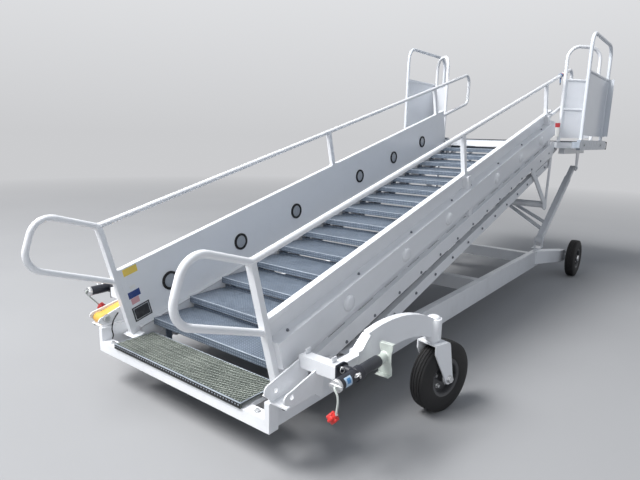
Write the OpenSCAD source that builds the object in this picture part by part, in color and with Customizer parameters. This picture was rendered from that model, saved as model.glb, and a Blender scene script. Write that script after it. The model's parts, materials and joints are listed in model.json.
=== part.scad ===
// Towable passenger stairs with self-levelling steps, at real size in millimetres.
// x runs across, y the way a passenger climbs, z up. The origin lies on the ground under the middle
// of the whole machine. The sizes below are counted from the front face of the base beam instead,
// and the last lines of the file move every piece to the origin.

/* [Stance] */
// Outer diameter of all four tyres
tyre_d = 406; // [390:1:420]
// Width of a tyre
tyre_w = 104; // [90:1:110]
// Height of the underside of the base and the chassis
base_clear = 200; // [190:1:210]
// Side-to-side distance from the middle to a front wheel
front_wheel_x = 1008; // [1000:1:1030]
// Distance of the front wheels behind the base's front face
front_wheel_y = 1033; // [1020:1:1060]
// Angle by which the front wheels toe, as they were left
caster_yaw = 14.3; // [0:0.1:20]
// Distance of a front wheel's axle behind its kingpin
caster_trail = 83; // [70:1:85]
// Side-to-side distance from the middle to a rear wheel
rear_wheel_x = 881; // [875:1:900]
// Distance of the rear wheels behind the base's front face
rear_wheel_y = 4785; // [4770:1:4820]

/* [Flight] */
// Slope of the flight in its lowest place
slope = 14.87; // [14.5:0.01:15.5]
// Distance of the flight's hinge behind the base's front face
hinge_y = 420; // [415:1:430]
// Height of the flight's hinge
hinge_z = 361.5; // [360:0.5:366]
// Height from the lower rails' pins up to the stringers' pins
link_gap = 145; // [143:1:148]
// Distance between two steps along the slope
step_pitch = 284; // [280:1:286]
// First step's pin, along the slope from the flight's hinge
first_pin = -57; // [-60:1:-50]
// Diameter of the pins of the steps, rails and platform
pin_d = 20; // [16:1:24]
// Clearance round a pin, on the diameter
pin_play = 0.2; // [0.1:0.05:0.3]

/* [Steps] */
// Width of a tread
tread_w = 1036; // [1020:1:1040]
// Depth of a tread from nosing to back
tread_depth = 300; // [290:1:305]
// Height of the nosing's lip
lip_h = 40; // [36:1:42]
// Height of the upstand at a tread's back
upstand_h = 18; // [10:1:20]
// Sheet thickness of a tread
tread_t = 4; // [3:0.5:5]
// Distance of a step's pins behind its nosing
pin_setback = 100; // [95:1:105]
// Height of a tread above its upper pin
tread_rise = 25; // [23:1:28]
// Thickness of a step's hanger plate
hanger_t = 10; // [8:1:12]

/* [Stringers] */
// Distance of the stringers' inner faces from the middle
stringer_in = 577; // [575:1:580]
// Distance of the stringers' outer faces from the middle
stringer_out = 645; // [640:1:648]
// Height of the side panel above the pin line, square to the slope
panel_h = 410; // [400:1:415]
// Outer face of the long box along the side panel
box_out = 652; // [650:1:654]
// Wall of the folded stringer sheet
sheet = 5; // [4:0.5:6]
// Front end of the side panel, along the slope from the hinge
panel_front = -255; // [-260:1:-250]
// Rear end of the side panel, along the slope from the hinge
panel_rear = 4090; // [4080:1:4095]
// Diameter of a step light's housing
light_d = 120; // [100:1:125]

/* [Handrails] */
// Diameter of the handrail tube
rail_d = 34; // [30:1:38]
// Distance of the handrails from the middle
rail_x = 598; // [596:1:600]
// Height of the handrail above the pin line, square to the slope
rail_h = 695; // [680:1:710]
// Bending radius of the handrail's loops
loop_r = 105; // [90:1:115]

/* [Chassis] */
// Outer face of the chassis beams
beam_out = 672; // [671:1:676]
// Width of a chassis beam
beam_w = 48; // [44:1:48]
// Height of a chassis beam
beam_h = 165; // [150:1:170]
// Front end of the chassis beams
beam_front = 600; // [590:1:620]
// Rear end of the chassis beams
beam_rear = 4200; // [4180:1:4210]
// Height of the base's front beam
sill_h = 63; // [60:1:66]
// Side of the square struts
strut_side = 60; // [56:1:60]

/* [Platform] */
// Height of the platform's floor in its lowest place
deck_z = 1490; // [1486:1:1500]
// Half width of the platform
deck_half = 935; // [930:1:940]
// Rear edge of the platform's floor
deck_rear = 5560; // [5550:1:5580]
// Platform hinge, along the slope from the flight's hinge
platform_pin = 4118; // [4114:1:4122]
// Height of the corner guards
guard_top = 2470; // [2400:10:2500]
// Height of the sliding guards
slide_top = 2520; // [2450:10:2560]
// Diameter of the guard tubes
guard_d = 34; // [30:1:36]

/* [Jacks] */
// Distance of a jack's tube from the middle
jack_x = 970; // [966:1:975]
// Height of a stowed jack
jack_z = 485; // [482:1:490]
// Outer diameter of a jack's tube
jack_d = 56; // [50:1:56]

/* [Hidden] */
SIDES = ["right", "left"];
STEP_NODES = ["step_01", "step_02", "step_03", "step_04", "step_05", "step_06", "step_07", "step_08",
              "step_09", "step_10", "step_11", "step_12", "step_13", "step_14", "step_15"];

step_count = len(STEP_NODES);
seat = 0.3;
run_gap = 6;
tyre_r = tyre_d / 2;
bore_d = pin_d + pin_play;
white = "whitesmoke";
zinc = "silver";

// Handrail corners along the slope and square to it: the lower loop, the rail, the upper loop
loop_foot = [-285, 355];
loop_low = [-714, 643];
loop_high = [-559, 877];
rail_kink = [-270, rail_h];
rail_end = [4917, rail_h];
loop_back = [4819, 352];
loop_end = [panel_rear, 352];
kink_r = 60;

// Where the whole machine begins and ends along y, for the origin
loop_front = slope_y(bend_centre([loop_foot, loop_low, loop_high], loop_r)) - loop_r - rail_d / 2;
bumper_t = 40;
part_rear = deck_rear + bumper_t;
mid_y = (loop_front + part_rear) / 2;

// The y of a point given along the slope and square to it
function slope_y(p) = hinge_y + p[0] * cos(slope) - p[1] * sin(slope);
// The z of a point given along the slope and square to it
function slope_z(p) = hinge_z + p[0] * sin(slope) + p[1] * cos(slope);

function unit(v) = v / norm(v);
// Turn at the middle one of three corners, in degrees, positive to the left
function turn(a, b, c) =
    let (p = unit(b - a), q = unit(c - b))
    atan2(p[0] * q[1] - p[1] * q[0], p[0] * q[0] + p[1] * q[1]);
// Centre of the bend of radius r at the middle one of three corners
function bend_centre(p, r) =
    let (t = turn(p[0], p[1], p[2]), d = unit(p[1] - p[0]), side = t > 0 ? 1 : -1)
    p[1] - d * r * tan(abs(t) / 2) + r * side * [-d[1], d[0]];
function heading(d) = atan2(d[1], d[0]);

module at_side(side) {
    if (side == "right") children();
    else mirror([1, 0, 0]) children();
}

// Children drawn as [across, along the slope, square to the slope], from the flight's hinge
module on_flight() translate([0, hinge_y, hinge_z]) rotate([slope, 0, 0]) children();
// The same, from the lower rails' hinge
module on_rail() translate([0, hinge_y, hinge_z - link_gap]) rotate([slope, 0, 0]) children();
// A plane outline turned to stand along y and z at x, with thickness t towards +x
module upright(x, t) translate([x, 0, 0]) rotate([90, 0, 90]) linear_extrude(t) children();
// A round bar or bore along x
module cross_bar(x0, x1, y, z, d) translate([x0, y, z]) rotate([0, 90, 0])
    cylinder(h = x1 - x0, d = d, $fn = 48);
// A box from its two far corners
module block(a, b) translate(a) cube(b - a);
// A plane strip with round ends between two points
module link_shape(a, b, w) {
    translate(a) circle(d = w, $fn = 48);
    translate(b) circle(d = w, $fn = 48);
    translate(a) rotate(heading(b - a)) translate([0, seat - w / 2]) square([norm(b - a), w - 2 * seat]);
}

// A round tube in the xy plane along its corners, each but the ends bent with its radius.
// A bend swells by a hair, and the straight tubes reach a little way into it.
module bent_tube(p, radii, d) {
    n = len(p);
    into = 2;
    swell = 0.4;
    cut = [for (i = [0 : n - 1]) i == 0 || i == n - 1 ? 0
        : radii[i] * tan(abs(turn(p[i - 1], p[i], p[i + 1])) / 2) - into];
    for (i = [0 : n - 2]) {
        way = unit(p[i + 1] - p[i]);
        translate(p[i] + way * cut[i]) rotate([0, 90, heading(way)])
            cylinder(h = norm(p[i + 1] - p[i]) - cut[i] - cut[i + 1], d = d, $fn = 32);
    }
    if (n > 2) for (i = [1 : n - 2]) {
        t = turn(p[i - 1], p[i], p[i + 1]);
        first = t > 0 ? heading(p[i] - p[i - 1]) - 90 : heading(p[i + 1] - p[i]) + 90;
        translate(bend_centre([p[i - 1], p[i], p[i + 1]], radii[i])) rotate(first)
            rotate_extrude(angle = abs(t), $fn = 64)
                translate([radii[i], 0]) circle(d = d + swell, $fn = 32);
    }
}

// Base: front sill, side plates with both hinges' pins, bearers under the grating
grating_half = tread_w / 2;
grating_rear = 250;
grating_t = 25;
side_in = box_out + 8;
sill_top = base_clear + sill_h;
sill_depth = 60;
hitch_floor = 345;
hitch_floor_t = 8;
pin_inner = grating_half + 22;
module base_frame() color(white) {
    end_out = beam_out + 18;
    block([-end_out, 0, base_clear], [end_out, sill_depth, sill_top]);
    for (side = SIDES) at_side(side) {
        block([side_in, 0, sill_top], [end_out, sill_depth, hitch_floor]);
        upright(side_in, beam_out - side_in) polygon([
            [sill_depth, base_clear], [beam_front, base_clear], [beam_front, base_clear + beam_h],
            [hinge_y + 90, hinge_z + 10], [hinge_y + 55, hinge_z + 40], [hinge_y - 55, hinge_z + 40],
            [hinge_y - 120, hitch_floor], [sill_depth, hitch_floor]]);
        for (z = [hinge_z, hinge_z - link_gap])
            cross_bar(stringer_in - 12, side_in, hinge_y, z, pin_d);
        block([grating_half - 40, sill_depth, sill_top - 23], [grating_half, grating_rear, sill_top]);
    }
    block([-grating_half + 40, grating_rear - 30, sill_top - 23],
          [grating_half - 40, grating_rear, sill_top]);
}

// Landing grating with its lip over the sill
module landing_grating() color(zinc) {
    slot_pitch = 96;
    slot_w = 14;
    translate([-grating_half, -8, sill_top]) difference() {
        cube([grating_half * 2, grating_rear + 8, grating_t]);
        translate([-1, 12, -1]) cube([grating_half * 2 + 2, grating_rear, grating_t - 4]);
    }
    for (x = [-grating_half + 20 : slot_pitch : grating_half - slot_w])
        block([x, 4, sill_top], [x + slot_w / 2, grating_rear, sill_top + grating_t - 5]);
}

// Chassis: two long box beams with the struts' foot brackets
strut_x = stringer_out - 15;
strut_foot = [4250, 450];
foot_t = 8;
foot_gap = strut_side / 2 + 2;
beam_top = base_clear + 5 + beam_h;
module chassis_beams() color(white) for (side = SIDES) at_side(side) {
    beam_in = beam_out - beam_w;
    difference() {
        block([beam_in, beam_front, base_clear + 5], [beam_out, beam_rear, beam_top]);
        block([beam_in + sheet, beam_front - 1, base_clear + 5 + sheet],
              [beam_out - sheet, beam_rear - sheet, beam_top - sheet]);
    }
    plate_in = strut_x - foot_gap - foot_t;
    plate_out = strut_x + foot_gap + foot_t;
    block([plate_in, beam_rear - 60, beam_top], [plate_out, strut_foot[0] + 40, beam_top + foot_t]);
    for (x = [plate_in, plate_out - foot_t]) upright(x, foot_t) {
        link_shape(strut_foot, strut_foot - [0, strut_foot[1] - beam_top - foot_t - 30], 60);
        translate([strut_foot[0] - 30, beam_top + foot_t]) square([60, 40]);
    }
    cross_bar(plate_in - 8, plate_out + 8, strut_foot[0], strut_foot[1], pin_d);
}

// Cross members between the chassis beams; the middle one holds the cylinder's foot
cylinder_foot = [2720, 400];
cross_h = 110;
lug_gap = 70;
lug_t = 12;
module cross_members() color(white) {
    half = beam_out - beam_w;
    for (y = [1150, cylinder_foot[0], beam_rear - 40])
        block([-half, y - 40, base_clear + 5], [half, y + 40, base_clear + 5 + cross_h]);
    for (x = [-lug_gap / 2 - lug_t, lug_gap / 2]) upright(x, lug_t) {
        link_shape(cylinder_foot, cylinder_foot - [0, 40], 70);
        translate([cylinder_foot[0] - 35, base_clear + 5 + cross_h]) square([70, 50]);
    }
    cross_bar(-lug_gap / 2 - lug_t - 8, lug_gap / 2 + lug_t + 8, cylinder_foot[0],
              cylinder_foot[1], pin_d + 8);
}

// Hitch bracket: a tray between two drilled walls, beside the base
lateral_y = [200, 260];
lateral_z = [445, 505];
hitch_in = [684, 692];
hitch_out = [776, 784];
hitch_hole = [40, 395];
hitch_hole_d = 25;
bar_bolt_d = 22;
module hitch_wall(side, front, nose_z, rear_z) difference() {
    union() {
        translate([front + 28, nose_z - 28]) circle(r = 28, $fn = 48);
        polygon([[front + 28, nose_z], [lateral_y[0], rear_z], [lateral_y[0], lateral_z[0]],
                 [lateral_y[1], lateral_z[0]], [lateral_y[1], hitch_floor + hitch_floor_t],
                 [front + 40, hitch_floor + hitch_floor_t], [front, nose_z - 28]]);
    }
    translate(hitch_hole) circle(d = side == "right" ? hitch_hole_d : bar_bolt_d + 0.6, $fn = 48);
}
module hitch_bracket(side) color(white) at_side(side) {
    upright(hitch_in[0], hitch_in[1] - hitch_in[0]) hitch_wall(side, -30, 437, 487);
    upright(hitch_out[0], hitch_out[1] - hitch_out[0]) hitch_wall(side, -6, 418, 458);
    block([beam_out, 8, hitch_floor], [hitch_out[1], lateral_y[1], hitch_floor + hitch_floor_t]);
    upright(beam_out, hitch_out[1] - beam_out) polygon([[lateral_y[0], hitch_floor],
        [lateral_y[1], hitch_floor], [lateral_y[1], hitch_floor - 35], [lateral_y[1] - 12, hitch_floor - 35]]);
}

// Front arm: tube out from the hitch bracket, tube back, and the gooseneck to the kingpin tube
arm_x = [840, 890];
arm_back = 402;
kingpin_x = front_wheel_x - caster_trail * sin(caster_yaw);
kingpin_y = front_wheel_y - caster_trail * cos(caster_yaw);
kingpin_d = 30;
kingpin_tube_d = 66;
kingpin_z = [tyre_d + 24, 548];
neck_w = 40;
neck_start = [868, 400];
neck_heading = heading([kingpin_x, kingpin_y] - neck_start);
neck_len = norm([kingpin_x, kingpin_y] - neck_start);
// Points of an arc between a and b that bulges by h to the left of the way from a to b
function arc(a, b, h, n) =
    let (c = norm(b - a) / 2, r = (c * c + h * h) / (2 * h), half = asin(c / r),
         mid = (a + b) / 2, d = unit(b - a), o = mid - (r - h) * [-d[1], d[0]], m = heading([-d[1], d[0]]))
    [for (i = [0 : n]) o + r * [cos(m + half - 2 * half * i / n), sin(m + half - 2 * half * i / n)]];
// A point on the plan of the gooseneck, along it and to its left
function neck_point(u, v) = neck_start
    + [u * cos(neck_heading) - v * sin(neck_heading), u * sin(neck_heading) + v * cos(neck_heading)];
module gooseneck_shape() {
    top = arc([60, 592], [neck_len, 545], 55, 12);
    low = arc([105, 440], [neck_len, kingpin_z[0] + 5], 58, 12);
    polygon(concat(top, [for (i = [len(low) - 1 : -1 : 0]) low[i]], [[60, 432]]));
}
module front_arm(side) color(white) at_side(side) difference() {
    union() {
        block([hitch_in[0], lateral_y[0], lateral_z[0]], [arm_x[1], lateral_y[1], lateral_z[1]]);
        block([arm_x[0], lateral_y[1], lateral_z[0] + 5], [arm_x[1], arm_back, lateral_z[1] - 5]);
        for (x = [700, 850])
            block([x, lateral_y[1] - 34, lateral_z[1]], [x + 6, lateral_y[1], lateral_z[1] + 24]);
        intersection() {
            translate([0, 0, 430]) linear_extrude(180) polygon([
                [arm_x[0] - 2, arm_back - 20], [arm_x[1] + 2, arm_back - 20], [arm_x[1] + 2, arm_back],
                neck_point(66, -3 - neck_w / 2), neck_point(92, 3 - neck_w / 2), neck_point(92, neck_w / 2 - 3),
                neck_point(66, 3 + neck_w / 2), [arm_x[0] - 2, arm_back]]);
            upright(800, 120) polygon([
                [arm_back - 21, lateral_z[0] - 5], [arm_back + 120, lateral_z[0] - 5], [arm_back + 120, 582],
                [arm_back + 56, 582], [arm_back + 4, lateral_z[1] + 12], [arm_back - 21, lateral_z[1] + 12]]);
        }
        translate(neck_start) rotate(neck_heading) translate([0, neck_w / 2, 0]) rotate([90, 0, 0])
            linear_extrude(neck_w) gooseneck_shape();
        translate([kingpin_x, kingpin_y, kingpin_z[0]])
            cylinder(h = kingpin_z[1] - kingpin_z[0], d = kingpin_tube_d, $fn = 48);
        translate([kingpin_x, kingpin_y, kingpin_z[1]]) {
            cylinder(h = 8, d1 = kingpin_tube_d - 2, d2 = kingpin_tube_d - 26, $fn = 48);
            cylinder(h = 16, d = 12, $fn = 32);
        }
    }
    translate([kingpin_x, kingpin_y, kingpin_z[0] - 1])
        cylinder(h = kingpin_z[1] - kingpin_z[0] - 14, d = kingpin_d + pin_play, $fn = 48);
}

// Caster fork with its kingpin and axle, drawn with its kingpin on the z axis and its wheel behind
fork_gap = tyre_w / 2 + run_gap;
fork_t = 8;
axle_d = 25;
module at_caster(side) at_side(side)
    translate([kingpin_x, kingpin_y, 0]) rotate([0, 0, -caster_yaw]) children();
module fork_leg_shape() {
    translate([caster_trail, tyre_r]) circle(r = 30, $fn = 48);
    polygon([[-45, tyre_d + 16], [58, tyre_d + 16], [68, tyre_d + 10], [75, tyre_d - 3], [82, tyre_d - 40],
             [caster_trail + 29, tyre_r + 8], [caster_trail - 29, tyre_r - 8], [-45, tyre_d - 34]]);
}
module caster_fork(side) color(white) at_caster(side) {
    for (x = [-fork_gap - fork_t, fork_gap]) upright(x, fork_t) fork_leg_shape();
    block([-fork_gap - fork_t, -45, tyre_d + 8], [fork_gap + fork_t, 58, tyre_d + 16]);
    translate([0, 0, tyre_d + 16]) {
        cylinder(h = 24 - 16 - seat, d = 70, $fn = 48);
        cylinder(h = 110, d = kingpin_d, $fn = 48);
    }
    cross_bar(-fork_gap - fork_t - 12, fork_gap + fork_t + 12, caster_trail, tyre_r, axle_d);
}

// Wheel pieces, drawn round the x axis
rim_r = 104;
module round_x(profile) rotate([0, 90, 0]) rotate_extrude($fn = 64) polygon(profile);
function both_ways(half) = concat(half, [for (i = [len(half) - 1 : -1 : 0]) [half[i][0], -half[i][1]]]);
module tyre() color("dimgray") {
    h = tyre_w / 2;
    round_x(both_ways([[rim_r + seat, -h + 12], [rim_r + 12, -h + 3], [tyre_r - 46, -h],
                       [tyre_r - 16, -h + 6], [tyre_r - 3, -h + 16], [tyre_r, -h + 28]]));
}
module rim() color("gray") round_x([
    [axle_d / 2 + 0.5, -45], [32, -45], [32, 6], [90, 6], [90, -38], [rim_r, -38], [rim_r, 38],
    [90, 38], [90, 14], [32, 14], [32, 45], [axle_d / 2 + 0.5, 45]]);
module at_front_wheel(side) at_caster(side) translate([0, caster_trail, tyre_r]) children();
module at_rear_wheel(side) at_side(side) translate([rear_wheel_x, rear_wheel_y, tyre_r]) children();

// Rear arm: folded box from the chassis corner out to the stub axle
module rear_arm(side) color(white) at_side(side) {
    knee = [rear_wheel_x - tyre_w / 2 - 40, rear_wheel_y - 40];
    hull() {
        block([beam_out, beam_rear - 170, base_clear + 30], [beam_out + 6, beam_rear, beam_top - 5]);
        block([knee[0] - 60, knee[1] - 70, 165], [knee[0], knee[1] + 10, 290]);
    }
    hull() {
        block([knee[0] - 60, knee[1], 165], [knee[0], knee[1] + 10, 290]);
        block([knee[0] - 40, rear_wheel_y + 20, 165], [knee[0], rear_wheel_y + 45, 255]);
    }
    cross_bar(knee[0] - 20, rear_wheel_x + 45, rear_wheel_y, tyre_r, axle_d);
    cross_bar(knee[0], rear_wheel_x - tyre_w / 2 - 8, rear_wheel_y, tyre_r, 60);
}

// Jack: swivel plate on the arm's end, tube with crank; drawn stowed, along y
jack_pivot = [250, 475];
jack_front = 100;
jack_back = 418;
module jack_tube(side) at_side(side) {
    color("black") {
        upright(arm_x[1] + seat, 10) {
            translate(jack_pivot) circle(r = 40, $fn = 48);
            translate([jack_pivot[0] - 50, jack_pivot[1] - 38]) square([54, 78]);
        }
        difference() {
            union() {
                cross_bar(arm_x[1] + 10, jack_x - 12, jack_pivot[0], jack_z, 40);
                translate([jack_x, jack_front, jack_z]) rotate([-90, 0, 0])
                    cylinder(h = jack_back - jack_front, d = jack_d, $fn = 48);
            }
            translate([jack_x, jack_front + 60, jack_z]) rotate([-90, 0, 0])
                cylinder(h = jack_back, d = jack_d - 10, $fn = 48);
        }
    }
    crank_turn = side == "left" ? 50 : 0;
    color(zinc) {
        translate([jack_x, jack_front - 8, jack_z]) rotate([-90, 0, 0])
            cylinder(h = 8, d = jack_d + 12, $fn = 48);
        translate([jack_x, lateral_y[1] + 12, jack_z]) rotate([-90, 0, 0]) difference() {
            cylinder(h = 26, d = jack_d + 14, $fn = 48);
            translate([0, 0, -1]) cylinder(h = 28, d = jack_d, $fn = 48);
        }
        translate([jack_x, jack_front - 20, jack_z]) rotate([0, crank_turn, 0]) translate([0, 0, -130])
            cylinder(h = 140, d = 12, $fn = 32);
        translate([jack_x, jack_front - 28, jack_z]) rotate([-90, 0, 0])
            cylinder(h = 20, d = 18, $fn = 32);
    }
    color("red") translate([jack_x, jack_front - 20, jack_z]) rotate([0, crank_turn, 0]) translate([0, 0, -168]) {
        cylinder(h = 10, d1 = 30, d2 = 46, $fn = 32);
        translate([0, 0, 10]) cylinder(h = 18, d = 46, $fn = 32);
        translate([0, 0, 28]) cylinder(h = 12, d1 = 46, d2 = 22, $fn = 32);
    }
}

// Jack's inner tube with its pressed foot plate
foot_y = 480;
foot_half = 76;
foot_x = [940, 1011];
module jack_foot(side) color(zinc) at_side(side) {
    translate([jack_x, jack_front + 62, jack_z]) rotate([-90, 0, 0])
        cylinder(h = foot_y - jack_front - 62, d = jack_d - 11, $fn = 48);
    block([foot_x[0], foot_y, jack_z - 10 - foot_half], [foot_x[1], foot_y + 5, jack_z - 10 + foot_half]);
    for (z = [jack_z - 10 - foot_half, jack_z - 10 + foot_half - 5])
        block([foot_x[0], foot_y + 5, z], [foot_x[1], foot_y + 26, z + 5]);
}

// Tow bar, pinned in the left hitch bracket under the arm's tube
bar_x = [696, 772];
bar_z = [372, 432];
module tow_bar() color("gold") at_side("left") {
    difference() {
        union() {
            block([bar_x[0], 30, bar_z[0]], [bar_x[1], 610, bar_z[1]]);
            cross_bar(bar_x[0], bar_x[1], 30, (bar_z[0] + bar_z[1]) / 2, bar_z[1] - bar_z[0]);
        }
        block([bar_x[0] + sheet, 120, bar_z[0] + sheet], [bar_x[1] - sheet, 611, bar_z[1] - sheet]);
    }
    cross_bar(hitch_in[0] - 9, hitch_out[1] + 12, hitch_hole[0], hitch_hole[1], bar_bolt_d);
    for (x = [hitch_in[0] - 9, hitch_out[1] + seat]) cross_bar(x, x + 9 - seat, hitch_hole[0], hitch_hole[1], 38);
}

// Side panel's section across the slope, from the inner face out, as a folded closed housing
ledge = 82;
box_low = 150;
box_top = 290;
cap_t = 23;
cap_out = 616;
web_low_out = 606;
web_top_out = 594;
shoulder = 12;
stringer_low = -20;
module panel_section() polygon([
    [stringer_in, stringer_low], [stringer_out, stringer_low], [stringer_out, ledge],
    [web_low_out, ledge], [web_low_out, box_low], [box_out, box_low], [box_out, box_top],
    [web_top_out, box_top + shoulder], [web_top_out, panel_h - cap_t], [cap_out, panel_h - cap_t],
    [cap_out, panel_h], [stringer_in, panel_h]]);

// Step lights sit in the panels at these places along the slope, at one height square to it
light_w = 196;
function light_places(side) = side == "right" ? [280, 895, 1500, 2415, 3010, 3600]
    : [60, 690, 1320, 2255, 2885, 3510];
dome_d = 84;
dome_h = 12;
function step_u(i) = first_pin + i * step_pitch;
mid_post_u = 1900;
top_post_u = 3925;

module stringer(side) color(white) at_side(side) on_flight() difference() {
    union() {
        translate([0, panel_rear, 0]) rotate([90, 0, 0])
            linear_extrude(panel_rear - panel_front) panel_section();
        block([stringer_in, panel_rear, stringer_low], [stringer_out, platform_pin, ledge - 14]);
        cross_bar(stringer_in, stringer_out, platform_pin, 0, 2 * abs(stringer_low));
        for (u = [mid_post_u, top_post_u]) {
            block([web_top_out - 4, u - 25, box_top - 4], [box_out - 12, u + 25, panel_h - cap_t]);
            block([web_low_out - 4, u - 25, ledge - 4], [box_out - 12, u + 25, box_low + 4]);
        }
        for (u = light_places(side)) translate([box_out - 1, u, light_w + 16]) rotate([0, 90, 0])
            cylinder(h = dome_h + 1, d1 = dome_d, d2 = dome_d - 40, $fn = 48);
    }
    for (i = [0 : step_count - 1])
        cross_bar(stringer_in - 1, stringer_out + 1, step_u(i), 0, bore_d);
    for (u = [0, platform_pin]) cross_bar(stringer_in - 1, stringer_out + 1, u, 0, bore_d);
}

// Handrail: tube with a loop at each end, its posts on the panel's cap
post_d = 30;
module handrail(side) color(white) at_side(side) on_flight() {
    difference() {
        translate([rail_x, 0, 0]) rotate([90, 0, 90]) bent_tube(
            [loop_foot, loop_low, loop_high, rail_kink, rail_end, loop_back, loop_end],
            [0, loop_r, loop_r, kink_r, loop_r - 15, loop_r - 15, 0], rail_d);
        block([rail_x - 30, panel_front, 300], [rail_x + 30, panel_front + 60, 420]);
    }
    block([rail_x - 20, panel_front - 30, -5], [rail_x + 20, panel_front, rail_h]);
    for (u = [mid_post_u, top_post_u])
        block([rail_x - post_d / 2, u - 20, panel_h], [rail_x + post_d / 2, u + 20, rail_h]);
}

// Hanger frame under the stringers: two triangles and the cross tube that the cylinder lifts
hanger_x = 627;
hanger_w = 12;
hanger_tip = [3889, -565];
tube_c = [3841, -535];
tube_d = 70;
ram_lug = [3832, -645];
module hanger_frame() color(white) on_flight() {
    for (side = SIDES) at_side(side) upright(hanger_x, hanger_w) {
        translate([3400, -70]) square([panel_rear - 3400, 70 + stringer_low]);
        link_shape([3440, -52], hanger_tip, 64);
        link_shape([4052, -52], hanger_tip, 56);
        link_shape(tube_c, hanger_tip, 90);
    }
    cross_bar(-hanger_x - hanger_w, hanger_x + hanger_w, tube_c[0], tube_c[1], tube_d);
    for (x = [-40, 28]) {
        upright(x, lug_t) link_shape(tube_c, ram_lug, 60);
        cross_bar(x < 0 ? x - 10 : x + lug_t, x < 0 ? x : x + lug_t + 10, ram_lug[0], ram_lug[1], 36);
    }
}

// Step lights on both panels' inner faces
module step_lights() for (side = SIDES) at_side(side) on_flight() for (u = light_places(side)) {
    color("black") difference() {
        cross_bar(stringer_in - 8, stringer_in, u, light_w, light_d);
        cross_bar(stringer_in - 9, stringer_in - 4, u, light_w, light_d - 30);
    }
}

// Lower rail: channel open inwards with a bearing sleeve at each pin
rail_in = stringer_in;
rail_out = 618;
rail_height = 80;
rail_front = 30;
rail_rear = platform_pin + 34;
module lower_rail(side) color(white) at_side(side) on_rail() difference() {
    union() {
        difference() {
            block([rail_in, rail_front, -rail_height / 2], [rail_out, rail_rear, rail_height / 2]);
            block([rail_in - 1, rail_front - 1, -rail_height / 2 + sheet],
                  [rail_out - sheet, rail_rear + 1, rail_height / 2 - sheet]);
        }
        upright(rail_in, rail_out - rail_in) link_shape([first_pin, 0], [rail_front + 20, 0], pin_d * 2 + 4);
        for (i = [1 : step_count - 1])
            cross_bar(rail_in, rail_out, step_u(i), 0, pin_d * 2);
        cross_bar(rail_in, rail_out, platform_pin, 0, pin_d * 2);
    }
    for (i = [0 : step_count - 1]) cross_bar(rail_in - 1, rail_out + 1, step_u(i), 0, bore_d);
    for (u = [0, platform_pin]) cross_bar(rail_in - 1, rail_out + 1, u, 0, bore_d);
}

// Step: folded tread with hanger plates that carry an upper and a lower pin each
module step(i) color(zinc) {
    y = slope_y([step_u(i), 0]);
    z = slope_z([step_u(i), 0]);
    half = tread_w / 2;
    translate([0, y, z]) {
        difference() {
            block([-half, -pin_setback, tread_rise - lip_h],
                  [half, tread_depth - pin_setback, tread_rise]);
            block([-half - 1, tread_t - pin_setback, tread_rise - lip_h - 1],
                  [half + 1, tread_depth - pin_setback - tread_t, tread_rise - tread_t]);
        }
        block([-half, tread_depth - pin_setback - tread_t, tread_rise - tread_t],
              [half, tread_depth - pin_setback, tread_rise + upstand_h]);
        for (side = SIDES) at_side(side) {
            upright(half, hanger_t) {
                link_shape([0, 0], [0, -link_gap], pin_d * 2 + 2);
                translate([-pin_setback, tread_rise - lip_h]) square([tread_depth - 40, lip_h]);
            }
            cross_bar(half + hanger_t, stringer_out, 0, 0, pin_d);
            cross_bar(half + hanger_t, rail_out, 0, -link_gap, pin_d);
        }
    }
}

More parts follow.
